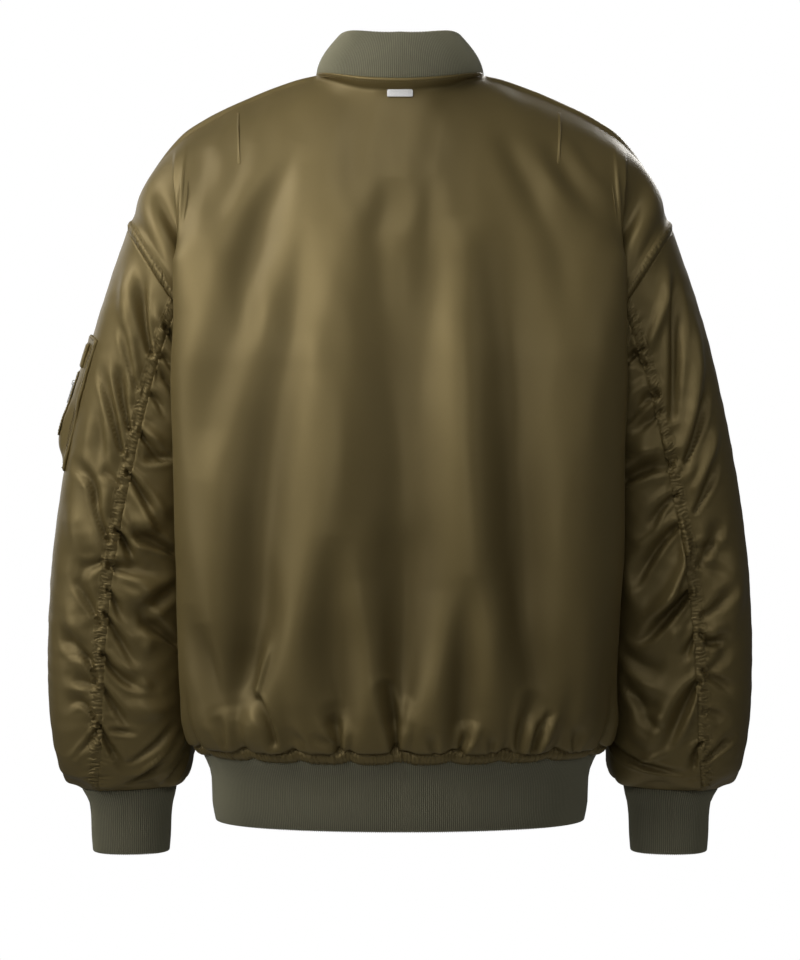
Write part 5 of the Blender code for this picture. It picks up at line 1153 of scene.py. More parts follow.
def band_on(name, panel, edge, style, span=(0.0, 1.0), strength=None):
    """A topstitched band of doubled cloth beside a seam, with its puckers. Gives the stitches on it too."""
    width = style["width"]
    fine = np.arange(0.0022, width - 0.0012, BAND_STEP * 1.1)
    distances = np.concatenate([BAND_NEAR, fine, width + np.array(BAND_FAR), [width + style["fade"]]])
    side = beside(panel, edge, span)
    ruck = puckers(lengths(side[0][2])[-1], style, distances, strength)
    face, out = across_at(side, len(ruck), distances)
    lift = band_height(style, distances) + ruck - seam_dip(distances)
    lift[:, 0] = -BAND_SINK
    top = face + out * lift[..., None]
    under = face[:, [-1, 0]] - out[:, [-1, 0]] * BAND_SINK * 1.4
    grid = np.concatenate([top, under], axis=1)
    across = np.concatenate([distances, distances[[-1, 0]] + 0.002])
    along = np.arange(len(grid)) * style.get("step", BAND_STEP)
    # The puckers' depth, doubled, also sets the colour: painted shade in their hollows.
    relief = 2.0 * np.pad(ruck, ((0, 0), (0, 2)))
    made = tube(name, grid, is_turned(top, out[0, 3], 3), across, along, nylon, relief=relief)
    stitches = []
    for line in style["lines"]:
        k = int(np.abs(distances - line).argmin())
        stitches.append((top[:, k], out[:, k], unit(top[:, k + 1] - top[:, k - 1])))
    return made, stitches


def stitched(name, rows, material, pitch, length, crosswise=False):
    """Stitches on each line of (points, ways out, ways across): short threads that dip into the cloth at both
    ends, along the line or across it."""
    points, faces = [], []
    ring = np.radians((0, 90, 180, 270))
    radius = STITCH["radius"]
    lifts = np.array([-STITCH["dip"], 0.6 * radius, 0.6 * radius, -STITCH["dip"]])[:, None]
    for line, out, across in rows:
        along = lengths(line)
        table = np.concatenate([line, out, across], axis=1)
        for start in np.arange(pitch, along[-1] - pitch, pitch) + rng.uniform(-0.0002, 0.0002):
            ends = start + np.array([0.0, 0.2, 0.8, 1.0]) * length
            spots = np.stack([np.interp(ends, along, table[:, k]) for k in range(9)], axis=1)
            spine, up = spots[:, :3], spots[0, 3:6]
            if crosswise:
                spine = spots[0, :3] + np.array([-0.5, -0.3, 0.3, 0.5])[:, None] * spots[0, 6:] * length
            way = unit(spine[-1] - spine[0])
            aside = unit(np.cross(way, up))
            up = np.cross(aside, way)
            spine = spine + up * lifts
            first = len(points)
            points.append(spine[0])
            for middle in spine[1:3]:
                points += [middle + radius * (aside * math.cos(a) + up * math.sin(a)) for a in ring]
            points.append(spine[3])
            for k in range(4):
                j = (k + 1) % 4
                faces += [(first, first + 1 + j, first + 1 + k), (first + 9, first + 5 + k, first + 5 + j)]
                faces.append((first + 1 + k, first + 1 + j, first + 5 + j, first + 5 + k))
    points = np.array(points)
    mesh = new_mesh(name, points, faces, points[:, [0, 2]], np.zeros(len(points)))
    return link(name, mesh, material)


def some_of(count):
    return np.array(sorted(set(range(0, count, LINING_EVERY)) | {count - 1}))


def lowest_near(push, reach):
    """The least push within so many points of each."""
    padded = np.pad(push, reach, mode="edge")
    window = np.lib.stride_tricks.sliding_window_view(padded, (2 * reach + 1, 2 * reach + 1))
    return window.min(axis=(2, 3))


def rim_faces(dense, sparse, places, turned):
    """Faces between a border and the coarser border under it, which has only the points at these places."""
    faces = []
    for k, (a, b) in enumerate(zip(places[:-1], places[1:])):
        face = dense[a:b + 1].tolist() + [int(sparse[k + 1]), int(sparse[k])]
        faces.append(face[::-1] if turned else face)
    return faces


def cloth_piece(name, panel, replaced, wall=WALL):
    """A thin wall of nylon: its face, a plainer inside with fewer rows and columns, and the rims."""
    face = panel.face
    rows, columns = face.shape[:2]
    r, c = some_of(rows), some_of(columns)
    few = np.ix_(r, c)
    inward = lowest_near(panel.push, LINING_EVERY) - wall
    lining = (panel.plain + panel.out * inward[..., None])[few]
    index, under = numbered(rows, columns), rows * columns + numbered(len(r), len(c))
    turned = is_turned(face, panel.out[0, 0])
    faces = grid_faces(index, turned) + grid_faces(under, not turned)
    faces += rim_faces(index[0], under[0], c, not turned)
    faces += rim_faces(index[-1], under[-1], c, turned)
    faces += rim_faces(index[:, 0], under[:, 0], r, turned)
    faces += rim_faces(index[:, -1], under[:, -1], r, not turned)
    uv = np.stack([panel.across, panel.along], axis=-1)
    points = np.concatenate([face.reshape(-1, 3), lining.reshape(-1, 3)])
    places = np.concatenate([uv.reshape(-1, 2), uv[few].reshape(-1, 2)])
    # The push also sets the colour: painted shade in the hollows of the folds, lighter crests as wear.
    relief = np.concatenate([panel.push.ravel(), panel.push[few].ravel()])
    made = link(name, new_mesh(name, points, faces, places, relief), nylon)
    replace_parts(made, replaced)
    return made


def band_piece(name, rows, inside, replaced, closed=False):
    """Rib knit folded double: the outer face from the seam to the fold, round it, and back up inside."""
    out = (outward_round if closed else outward)(rows, inside)
    phase = np.cos(2 * math.pi * np.arange(rows.shape[1]) / RIB_COLUMNS)
    swell = RIB_DEPTH * phase[None, :, None]
    level = np.linspace(0, 1, len(rows))[:, None, None]
    body = rows + out * swell * smooth(level / 0.04 + 0.3)
    down = unit(rows[-1] - rows[-2])
    middle = rows[-1] - out[-1] * RIB_WALL / 2
    turns = [middle + (RIB_WALL / 2 + swell[0]) * (out[-1] * math.cos(a) + down * math.sin(a))
             for a in np.radians((30, 60, 90, 120, 150))]
    back = (rows - out * (RIB_WALL + swell))[::-1]
    grid = np.concatenate([body, np.array(turns), back[some_of(len(back))]])
    grid = np.concatenate([grid, grid[:1]])
    index = numbered(len(grid) - 1, rows.shape[1])
    index = np.concatenate([index, index[:1]])
    turned = is_turned(rows, out[0, 0])
    if closed:
        faces = grid_faces(np.concatenate([index, index[:, :1]], axis=1), turned)
    else:
        faces = grid_faces(index, turned) + end_faces(index[:-1, 0], index[:-1, -1], turned)
    across, along = lengths(grid, 1), lengths(grid, 0)
    uv = np.stack([across[:1] + 0 * along, along], axis=-1)[:-1].reshape(-1, 2)
    # The rib phase also sets the colour: painted shade in the grooves between the ribs, the lighter crest
    # colour on the ribs.
    relief = (phase[None] + 0 * across)[:-1].ravel()
    made = link(name, new_mesh(name, grid[:-1].reshape(-1, 3), faces, uv, relief), rib)
    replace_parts(made, replaced)
    return made


# ---- the rib pieces
def rib_shares(line):
    """Shares of the length of a line of points that give each rib its columns."""
    return np.linspace(0, 1, round(lengths(line)[-1] / RIB_PITCH) * RIB_COLUMNS + 1)


def rounded(line, reach):
    """A line of points with its corners rounded over so many points, and its ends kept."""
    steps = np.arange(-3 * reach, 3 * reach + 1)
    share = np.exp(-((steps / reach) ** 2) / 2)
    padded = np.pad(line, ((3 * reach, 3 * reach), (0, 0)), mode="reflect", reflect_type="odd")
    return np.stack([np.convolve(row, share / share.sum(), "valid") for row in padded.T], axis=1)


def hem_band_rows():
    dense = np.linspace(0, 1, 500)
    front = FRONT_EDGE_SHARE + (1 - FRONT_EDGE_SHARE) * dense
    fore, aft = torso_arc(HEM_Z, -1, front), torso_arc(HEM_Z, 1, dense)
    fore[0, 0] = ZIP_HALF
    fore[:, 2], aft[:, 2] = hem_wave(-1, front), hem_wave(1, dense)
    ring = np.concatenate([fore[:-1], aft[::-1][:-1], aft * FLIP, (fore[::-1] * FLIP)[1:]])
    ring = even(ring, rib_shares(ring))
    ring[:, :2] = rounded(ring[:, :2], CORNER_POINTS)
    lift = ring[:, 2].copy()
    ring[:, 2] = 0.0
    normal = outward(np.array([ring, ring - [0, 0, 0.01]]), np.zeros(3))[0]
    normal[[0, -1], 0] = 0.0
    rows = []
    for z in (HEM_Z + 0.001, *np.linspace(HEM_Z - 0.0015, HEM_BOTTOM_Z + RIB_ROLL, 9)):
        grow = spline(HEM_BAND["z"], HEM_BAND["grow"], min(z, HEM_Z)) - (0.0016 if z > HEM_Z else 0.0)
        row = ring + normal * grow
        row[:, 2] = z + lift * max(0.0, 1 - (HEM_Z - z) / 0.03)
        rows.append(row)
    return np.array(rows)


def collar_rows():
    dense = np.linspace(COLLAR_END_ANGLE, -COLLAR_END_ANGLE, 1400)
    line = neck_point(dense)
    seam = even(line, rib_shares(line))
    whole, here = lengths(line), lengths(seam)
    turn = np.abs(np.interp(here / here[-1], whole / whole[-1], dense))
    height, lean = column(COLLAR, "height", turn, "angle"), column(COLLAR, "lean", turn, "angle")
    out = unit(seam * [1, 1, 0] + [0, 0.008, 0])
    rows = []
    for up in (-0.02, *np.linspace(0.02, 0.965, 10)):
        bow = COLLAR_BOW * math.sin(math.pi * up)
        rise = np.array([0.0, 0.0, 1.0]) * (height * up)[:, None]
        rows.append(seam + rise + out * (bow - lean * max(up, 0.0) ** 1.2)[:, None])
    return np.array(rows)


def cuff_rows(hand):
    turn = np.linspace(0, 2 * math.pi, 721)
    top_z = CUFF["z"][0]
    outer, inner = (edge[0] + [0, CUFF_MIDDLE_Y, 0] for edge in sleeve_edges(np.ones(1)))
    seam = (outer + inner) / 2 + np.outer(np.cos(turn), (outer - inner) / 2)
    seam[:, 1] += SLEEVE["half_y"][-1] * np.sin(turn)
    tucked = np.array([CUFF_MIDDLE_X, CUFF_MIDDLE_Y, top_z])
    rows = [seam + (tucked - seam) * [0.04, 0.04, 0.0] + [0, 0, 0.0015]]
    for z in np.linspace(top_z, CUFF_BOTTOM_Z + RIB_ROLL, 10):
        x = CUFF_MIDDLE_X + column(CUFF, "half_x", z, "z") * np.cos(turn)
        y = CUFF_MIDDLE_Y + column(CUFF, "half_y", z, "z") * np.sin(turn)
        blend = max(0.0, 1 - (top_z - z) / CUFF_FLARE) ** 2
        rows.append(np.column_stack([x, y, 0 * turn + z]) * (1 - blend) + (seam + [0, 0, z - top_z]) * blend)
    shares = rib_shares(rows[-1])[:-1]
    rows = np.array([even(row, shares) for row in rows])
    return rows if hand > 0 else rows * FLIP


# ---- finishes
def group(name, inputs, outputs):
    """An empty shader node group with these named sockets."""
    made = bpy.data.node_groups.new(name, "ShaderNodeTree")
    kinds = {"value": "NodeSocketFloat", "colour": "NodeSocketColor", "vector": "NodeSocketVector"}
    for title, kind, value in inputs:
        socket = made.interface.new_socket(name=title, in_out="INPUT", socket_type=kinds[kind])
        if value is not None:
            socket.default_value = value
    for title, kind in outputs:
        made.interface.new_socket(name=title, in_out="OUTPUT", socket_type=kinds[kind])
    return made, made.nodes.new("NodeGroupInput"), made.nodes.new("NodeGroupOutput")


def node(tree, kind, values=(), **settings):
    made = tree.nodes.new(kind)
    for key, value in settings.items():
        setattr(made, key, value)
    for socket, value in dict(values).items():
        if isinstance(value, bpy.types.NodeSocket):
            tree.links.new(value, made.inputs[socket])
        else:
            made.inputs[socket].default_value = value
    return made


def ranged(tree, value, start, end, low, high):
    """A value that goes from start to end, made to go from low to high."""
    limits = {"Value": value, "From Min": start, "From Max": end, "To Min": low, "To Max": high}
    return node(tree, "ShaderNodeMapRange", limits).outputs[0]


def blended(tree, factor, first, second):
    """A mix of two colours."""
    return node(tree, "ShaderNodeMix", {"Factor": factor, 6: first, 7: second}, data_type="RGBA").outputs[2]


def scaled(tree, place, scales):
    return node(tree, "ShaderNodeVectorMath", {0: place, 1: scales}, operation="MULTIPLY").outputs[0]


def noise(tree, place, scale, detail):
    given = {"Vector": place, "Scale": scale, "Detail": detail}
    return node(tree, "ShaderNodeTexNoise", given).outputs["Fac"]


def threads_group():
    """Woven cloth: fine threads both ways and a slight slub, as a height and a shade."""
    inputs = [("Place", "vector", None), ("Slub", "value", 0.5)]
    tree, given, gives = group("woven threads", inputs, [("Height", "value"), ("Shade", "value")])
    place = given.outputs["Place"]
    warp = node(tree, "ShaderNodeTexWave", {"Vector": place, "Scale": 300.0, "Distortion": 0.6},
                bands_direction="DIAGONAL").outputs["Fac"]
    slub = noise(tree, scaled(tree, place, (2600.0, 240.0, 1.0)), 1.0, 2.0)
    patch = noise(tree, place, 14.0, 3.0)
    height = node(tree, "ShaderNodeMix", {"Factor": given.outputs["Slub"], 2: warp, 3: slub})
    shade = node(tree, "ShaderNodeMix", {"Factor": 0.5, 2: slub, 3: patch})
    tree.links.new(height.outputs[0], gives.inputs["Height"])
    tree.links.new(shade.outputs[0], gives.inputs["Shade"])
    return tree


def crest_and_painted_shade_group():
    """Colour that is a little lighter where cloth stands proud, as wear, and darker where it lies low, as
    painted shade in the hollows.
    """
    inputs = [("Cloth", "colour", (0.1, 0.1, 0.1, 1)), ("Crest", "colour", (0.2, 0.2, 0.2, 1)),
              ("Painted Shade", "colour", (0.05, 0.05, 0.05, 1)), ("Relief", "value", 0.0), ("Shade", "value", 0.5)]
    tree, given, gives = group("worn crests and painted shade", inputs, [("Colour", "colour")])
    relief = given.outputs["Relief"]
    # high lightens the crests as wear; low darkens the hollows with painted shade
    high = ranged(tree, relief, 0.0, 1.0, 0.0, 0.55)
    low = ranged(tree, relief, 0.0, -1.0, 0.0, 0.75)
    colour = blended(tree, high, given.outputs["Cloth"], given.outputs["Crest"])
    colour = blended(tree, low, colour, given.outputs["Painted Shade"])
    uneven = ranged(tree, given.outputs["Shade"], 0.3, 0.7, 0.94, 1.06)
    shaded = node(tree, "ShaderNodeVectorMath", {0: colour, "Scale": uneven}, operation="SCALE")
    tree.links.new(shaded.outputs[0], gives.inputs["Colour"])
    return tree


def finish(name, roughness, metallic=0.0, **constants):
    made = bpy.data.materials.new(name)
    made.use_nodes = True
    shader = made.node_tree.nodes["Principled BSDF"]
    shader.inputs["Roughness"].default_value = roughness
    shader.inputs["Metallic"].default_value = metallic
    for key, value in constants.items():
        shader.inputs[key.replace("_", " ")].default_value = value
    return made, made.node_tree, shader


def varied(tree, shader, colour, shade, roughness, spread, height, strength, distance):
    """Gives a shader its colour, a roughness that varies with a shade, and a fine bump."""
    gloss = ranged(tree, shade, 0.3, 0.7, roughness - spread, roughness + spread)
    fine = node(tree, "ShaderNodeBump", {"Height": height, "Strength": strength, "Distance": distance})
    tree.links.new(colour, shader.inputs["Base Color"])
    tree.links.new(gloss, shader.inputs["Roughness"])
    tree.links.new(fine.outputs[0], shader.inputs["Normal"])


woven_threads, wear_and_painted_shade = threads_group(), crest_and_painted_shade_group()


def cloth_finish(name, colours, roughness, slub, bump, relief_scale=1.0, metallic=0.0, **constants):
    """A cloth material: thread bump, uneven colour, and colour that follows the relief: lighter on crests as
    wear, darker in hollows as painted shade.
    """
    made, tree, shader = finish(name, roughness, metallic, **constants)
    place = node(tree, "ShaderNodeUVMap", uv_map="cloth")
    relief = node(tree, "ShaderNodeAttribute", attribute_name="relief")
    height = node(tree, "ShaderNodeMath", {0: relief.outputs["Fac"], 1: relief_scale}, operation="MULTIPLY")
    weave = node(tree, "ShaderNodeGroup", {"Place": place.outputs[0], "Slub": slub}, node_tree=woven_threads)
    shade = weave.outputs["Shade"]
    shades = {title: (*colour, 1) for title, colour in zip(("Cloth", "Crest", "Painted Shade"), colours)}
    tint = node(tree, "ShaderNodeGroup", {**shades, "Relief": height.outputs[0], "Shade": shade},
                node_tree=wear_and_painted_shade)
    varied(tree, shader, tint.outputs["Colour"], shade, roughness, 0.04, weave.outputs["Height"], *bump)
    return made


def metal_finish(name, colour, worn, roughness, metallic):
    """Metal with fine brushing, and a colour and gloss that vary a little."""
    made, tree, shader = finish(name, roughness, metallic)
    place = node(tree, "ShaderNodeTexCoord").outputs["Object"]
    grain = noise(tree, scaled(tree, place, (4000.0, 4000.0, 500.0)), 1.0, 2.0)
    tint = blended(tree, noise(tree, place, 260.0, 3.0), (*colour, 1), (*worn, 1))
    varied(tree, shader, tint, grain, roughness, 0.06, grain, 0.15, 0.00005)
    return made


# Cloth, crest and low colours: the lighter crest colour is wear on the folds' crests, the darker low colour
# is painted shade in the folds' hollows.
nylon = cloth_finish(
    "olive satin nylon", ((0.2, 0.15, 0.057), (0.225, 0.17, 0.066), (0.15, 0.112, 0.042)),
    0.47, 0.6, (0.25, 0.0001), 90.0, 0.36, Specular_IOR_Level=0.3,
)
# The much darker low colour is painted shade in the grooves between the ribs.
rib = cloth_finish(
    "olive rib knit", ((0.23, 0.218, 0.142), (0.28, 0.266, 0.174), (0.07, 0.066, 0.042)),
    0.88, 0.8, (0.5, 0.0002), Specular_IOR_Level=0.25, Sheen_Weight=0.25, Sheen_Roughness=0.5,
)
tape = cloth_finish(
    "olive zip tape", ((0.06, 0.052, 0.028), (0.07, 0.06, 0.034), (0.045, 0.04, 0.022)),
    0.75, 0.3, (0.6, 0.0002), Specular_IOR_Level=0.25,
)
thread = cloth_finish(
    "olive sewing thread", ((0.15, 0.112, 0.048), (0.17, 0.13, 0.058), (0.1, 0.074, 0.03)),
    0.55, 0.3, (0.2, 0.0001), Specular_IOR_Level=0.4,
)
light_thread = cloth_finish(
    "light olive thread", ((0.26, 0.205, 0.09), (0.3, 0.24, 0.11), (0.18, 0.14, 0.06)),
    0.55, 0.3, (0.2, 0.0001), Specular_IOR_Level=0.4,
)
metal = metal_finish("satin nickel", (0.66, 0.65, 0.62), (0.54, 0.53, 0.5), 0.3, 1.0)
# The plate's near-white colour is a painted reflection: it stands in for the white studio mirrored in the
# polished metal.
polished = metal_finish("polished plate", (0.98, 0.98, 0.97), (0.94, 0.94, 0.93), 0.25, 0.1)


# ---- light, floor and camera
def placed(name, data, place):
    made = bpy.data.objects.new(name, data)
    made.location = place
    bpy.context.scene.collection.objects.link(made)
    return made


def softbox(name, place, target, width, height, power, colour):
    light = bpy.data.lights.new(name, "AREA")
    light.shape = "RECTANGLE"
    light.size, light.size_y = width, height
    light.energy = power * LIGHT_GAIN
    light.color = colour
    light.spread = LIGHT_SPREAD
    way = Vector(target) - Vector(place)
    placed(name, light, place).rotation_euler = way.to_track_quat("-Z", "Y").to_euler()


def white_world():
    """White to the eye, and a faint cool light all round."""
    world = bpy.data.worlds.new("white studio")
    world.use_nodes = True
    tree = world.node_tree
    tree.nodes.clear()
    path = node(tree, "ShaderNodeLightPath")
    seen = node(tree, "ShaderNodeBackground", {"Color": (1, 1, 1, 1), "Strength": 1.0})
    lit = node(tree, "ShaderNodeBackground", {"Color": (0.95, 0.97, 1.0, 1), "Strength": LIGHT_ALL_ROUND})
    both = node(tree, "ShaderNodeMixShader",
                {0: path.outputs["Is Camera Ray"], 1: lit.outputs[0], 2: seen.outputs[0]})
    end = node(tree, "ShaderNodeOutputWorld", {"Surface": both.outputs[0]})
    end.is_active_output = True
    return world


def pale_floor():
    work = bmesh.new()
    bmesh.ops.create_circle(work, cap_ends=True, segments=96, radius=FLOOR_RADIUS)
    mesh = bpy.data.meshes.new("floor")
    work.to_mesh(mesh)
    work.free()
    paint, tree, shader = finish("pale floor", 0.6)
    shader.inputs["Base Color"].default_value = (0.8, 0.8, 0.79, 1)
    shader.inputs["Emission Color"].default_value = (1, 1, 1, 1)
    path = node(tree, "ShaderNodeLightPath")
    glow = node(tree, "ShaderNodeMath", {0: path.outputs["Is Camera Ray"], 1: FLOOR_GLOW},
                operation="MULTIPLY")
    tree.links.new(glow.outputs[0], shader.inputs["Emission Strength"])
    mesh.materials.append(paint)
    placed("floor", mesh, (0.0, 0.0, FLOOR_Z))


def studio():
    scene = bpy.context.scene
    scene.view_settings.view_transform = "Standard"
    camera = bpy.data.cameras.new("camera")
    camera.lens = CAMERA_LENS
    camera.sensor_width = CAMERA_FILM
    scene.camera = placed("camera", camera, CAMERA_PLACE)
    scene.camera.rotation_euler = (math.pi / 2, 0.0, math.pi)
    scene.world = white_world()
    for row in SOFTBOXES:
        softbox(*row)
    pale_floor()


# ---- the zips
def strip_along(name, frames, edges, depth, wall, material, replaced=(), bead=0.0):
    """A thin strip along a line, between these distances to its side, with a rolled edge if bead. frames are
    the line's points and its ways sideways and out."""
    line, side, out = frames
    steps = np.linspace(*edges, 7)
    rise = np.zeros(7)
    rise[[0, -1]] = -0.3 * wall
    rise[0 if abs(edges[0]) < abs(edges[1]) else -1] += bead
    face = line[:, None] + side[:, None] * steps[None, :, None] + out[:, None] * (depth + rise)[None, :, None]
    grid = np.concatenate([face, face[:, [-1, 0]] - out[:, None] * wall], axis=1)
    across = np.concatenate([steps, steps[[-1, 0]]])
    made = tube(name, grid, is_turned(face, out[0], 3), across, lengths(line), material)
    if replaced:
        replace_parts(made, *replaced)
    return made


def teeth(name, frames, depth, size, replaced):
    """Two rows of metal teeth that mesh along a line. Every other tooth is on its other side."""
    line, side, out = frames
    along = lengths(line)
    table = np.concatenate([line, side, out, unit(np.gradient(line, axis=0))], axis=1)
    pitch, far, thick, tall, overlap = (
        TOOTH[key] * size for key in ("pitch", "long", "half_thick", "half_tall", "overlap")
    )
    layers = ((-thick, 1.0, 0.0), (0.55 * thick, 1.0, 0.0), (thick, 0.6, 0.00025))
    outline = ((-1, -1), (1, -1), (1, 1), (-1, 1))
    points, faces = [], []
    for number, at in enumerate(np.arange(pitch, along[-1] - pitch / 2, pitch / 2)):
        hand = 1 if number % 2 else -1
        values = np.array([np.interp(at, along, column) for column in table.T])
        spot, sideways, outwards, upwards = values.reshape(4, 3)
        first = len(points)
        for height, share, shrink in layers:
            for a, b in outline:
                reach = (shrink - overlap) if a < 0 else (far - shrink)
                wide = tall * share * (1.0 if a > 0 else 1.25)
                flat = spot + sideways * hand * reach + upwards * b * wide
                points.append(flat + outwards * (depth + height))
        quads = [(first, first + 3, first + 2, first + 1), (first + 8, first + 9, first + 10, first + 11)]
        for layer in (first, first + 4):
            for k in range(4):
                j = (k + 1) % 4
                quads.append((layer + k, layer + j, layer + 4 + j, layer + 4 + k))
        mirrored = np.dot(np.cross(sideways * hand, upwards), outwards) < 0
        faces += [quad[::-1] for quad in quads] if mirrored else quads
    mesh = new_mesh(name, np.array(points), faces)
    mesh.set_sharp_from_angle(angle=math.radians(35))
    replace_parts(link(name, mesh, metal), replaced)


def frames_along(line, out, side=(1.0, 0.0, 0.0)):
    """A line of points with ways sideways and out that are square to it."""
    way = unit(np.gradient(line, axis=0))
    out = unit(out - way * (out * way).sum(axis=1, keepdims=True))
    sideways = np.cross(way, out)
    sideways *= np.sign((sideways * side).sum(axis=1, keepdims=True))
    return line, sideways, out


def front_zip(front, band_rows):
    """The tapes and teeth between the two fronts, from the bottom of the rib band to the neck."""
    edge = np.concatenate([band_rows[-1:1:-1, 0], front.plain[2:, 0]])
    edge = even(edge, np.linspace(0, 1, round(lengths(edge)[-1] / TAPE["step"])))
    out = np.cross(np.gradient(edge, axis=0), [1.0, 0.0, 0.0])
    out *= np.sign((out * [0.0, -1.0, 0.0]).sum(axis=1, keepdims=True))
    frames = frames_along(edge * [0.0, 1.0, 1.0], out)
    tapes = []
    for name, hand in (("left", 1), ("right", -1)):
        edges = (hand * TAPE["inner"], hand * TAPE["outer"])
        depth = -ZIP_SINK - TAPE["deeper"]
        tapes.append(strip_along(f"{name}_front_tape", frames, edges, depth, TAPE["wall"], tape,
                                 [f"zip_tape_{name}"], TAPE["bead"]))
    teeth("front_zip_teeth", [values[1:-1] for values in frames], -0.0004, 1.0, "zip_chain")
    return tapes


# ---- the sleeve pocket, the darts and the plate
def sleeve_spot(panel, v, angle):
    """A point of the outer sleeve and the way out of it, by its share along and its angle at the armhole."""
    rows, columns = panel.face.shape[:2]
    r = np.interp(v, graded(SLEEVE_LENGTH, SLEEVE_STEP), np.arange(rows))
    c = np.interp(-np.asarray(angle), -sleeve_columns("outer"), np.arange(columns))
    i, j = np.minimum(r.astype(int), rows - 2), np.minimum(c.astype(int), columns - 2)
    u, w = (r - i)[..., None], (c - j)[..., None]
    both = np.concatenate([panel.face, panel.out], axis=2)
    above = (1 - w) * both[i, j] + w * both[i, j + 1]
    below = (1 - w) * both[i + 1, j] + w * both[i + 1, j + 1]
    made = (1 - u) * above + u * below
    return made[..., :3], unit(made[..., 3:])


def from_edges(r, c, rows, columns):
    """How far places on the pocket are from the edge of a piece with these end rows and columns."""
    return np.minimum(
        np.minimum(r - rows[0], rows[1] - r) * POCKET["row"],
        np.minimum(c - columns[0], columns[1] - c) * POCKET["column"],
    )


def pocket_spot(panel, r, c):
    """A point of the pocket patch and its way out. r goes down its rows, c across its columns."""
    r, c = np.broadcast_arrays(np.asarray(r, float), np.asarray(c, float))
    angles = np.array(POCKET["angles"])
    aside = (1 - c / 5) * np.interp(r, (0, 4), np.array(POCKET["back_edge"]) - angles[0])
    share = np.interp(r, range(5), POCKET["rings"])
    point, out = sleeve_spot(panel, share, np.interp(c, range(6), angles) + aside)
    edge = from_edges(r, c, (0, 4), (0, 5))
    blown = np.maximum(spline(range(5), POCKET["fullness"], r) * spline(range(6), POCKET["across"], c), 0.0)
    full = blown * smooth(edge / 0.018) + 0.0008 * smooth(edge / 0.0012)
    full -= 0.0004 * bell(edge - 0.0055, 0.0008)
    pleats = 0.0014 * bell(c - 4.0 + 0.2 * r, 0.3) - 0.0022 * bell(c - 3.2 + 0.25 * r, 0.35)
    full = full + pleats * np.sin(np.pi * r / 4) ** 2
    return point + out * (GAP + full)[..., None], out


def grid_piece(name, face, out, wall, replaced, relief=0.0):
    """A closed thin piece from the grid of its face and the ways out of it."""
    panel = Panel(face, out, relief + np.zeros(face.shape[:2]))
    panel.plain = face - out * panel.push[..., None]
    return cloth_piece(name, panel, replaced, wall)


def sleeve_pocket(panel, sleeve):
    """The patch with its pleats, its zip between two welts, and the tab over the pen slots."""
    wall = POCKET["wall"]
    r = np.linspace(0, 4, POCKET_ROWS)[:, None]
    c = np.linspace(0, 5, POCKET_COLUMNS)[None]
    inner, out = pocket_spot(panel, r, c)
    flat = np.stack([c * 0.02 + 0 * r, r * 0.025 + 0 * c], axis=-1)
    relief = POCKET_RUMPLE[0] * rumple(flat, *POCKET_RUMPLE[1:])
    face = inner + out * (wall + relief)[..., None]
    patch = grid_piece("sleeve_pocket_patch", face, out, wall + 0.0004, "sleeve_pocket", relief)

    def line_at(rows, columns, lift=0.0):
        rows, columns = np.broadcast_arrays(rows, columns)
        point, way = pocket_spot(panel, rows, columns)
        point = point + way * (wall + lift)
        return point, way, np.cross(np.gradient(point, axis=0), way)

    lines = []
    u = np.linspace(0, 1, 160)
    for offset in POCKET_STITCHES:
        down, over = offset + (4 - 2 * offset) * u, offset + (5 - 2 * offset) * u
        lines.append(line_at(down, offset * 1.05))
        lines += [line_at(row, over) for row in (offset * 0.85, 4 - offset * 0.85)]
        lines.append(line_at(down, 5 - offset * 1.05))
    rows, middle = np.linspace(*POCKET["zip_rows"], 48), POCKET["zip_column"]
    line, out_line, _ = line_at(rows, middle, 0.0004)
    frames = frames_along(line, out_line, line_at(rows, middle + 0.2, 0.0004)[0] - line)
    half = POCKET_ZIP["half_tape"]
    zip_tape = strip_along("pocket_tape", frames, (-half, half), GAP, TAPE["wall"], tape,
                           ["pocket_zip_tape"])
    teeth("pocket_zip_teeth", frames, 0.001, POCKET_ZIP["teeth"], "pocket_zip_chain")
    line, side, out_line = frames
    for name, hand in (("outer", -1), ("inner", 1)):
        edges = [hand * edge for edge in POCKET_ZIP["welt"]]
        strip_along(f"pocket_{name}_welt", frames, edges, POCKET_ZIP["proud"], 0.001, nylon,
                                 (), 0.0005)
        stitches = line + side * hand * POCKET_ZIP["welt_stitch"] + out_line * POCKET_ZIP["proud"]
        lines.append((stitches, out_line, side))
    rows, columns = POCKET["tab_rows"], POCKET["tab_columns"]
    r, c = np.linspace(*rows, 25)[:, None], np.linspace(*columns, 13)[None]
    inner, out = pocket_spot(panel, r, c)
    lift = 0.0012 + 0.0012 * smooth(from_edges(r, c, rows, columns) / 0.0012)
    tab = grid_piece("pen_slot_tab", inner + out * (wall + lift)[..., None], out, 0.002, "pen_tab")
    stitched("pocket_stitching", lines, thread, STITCH["pitch"], STITCH["length"])
    declare(patch, "sleeve_pocket")
    declare(zip_tape, "pocket_tape")
    declare(tab, "pen_tab")


def tree_of(patch):
    """What rays can be cast on: a grid of points."""
    faces = grid_faces(numbered(*patch.shape[:2]), False)
    return BVHTree.FromPolygons([Vector(v) for v in patch.reshape(-1, 3).tolist()], faces)


def from_behind(surface, x, z):
    """Where the back has this x and z, and the way out of it there."""
    spot, way, _, _ = surface.ray_cast(Vector((x, BEHIND, z)), Vector((0, -1, 0)))
    return np.array(spot), np.array(way if way.y > 0 else -way)


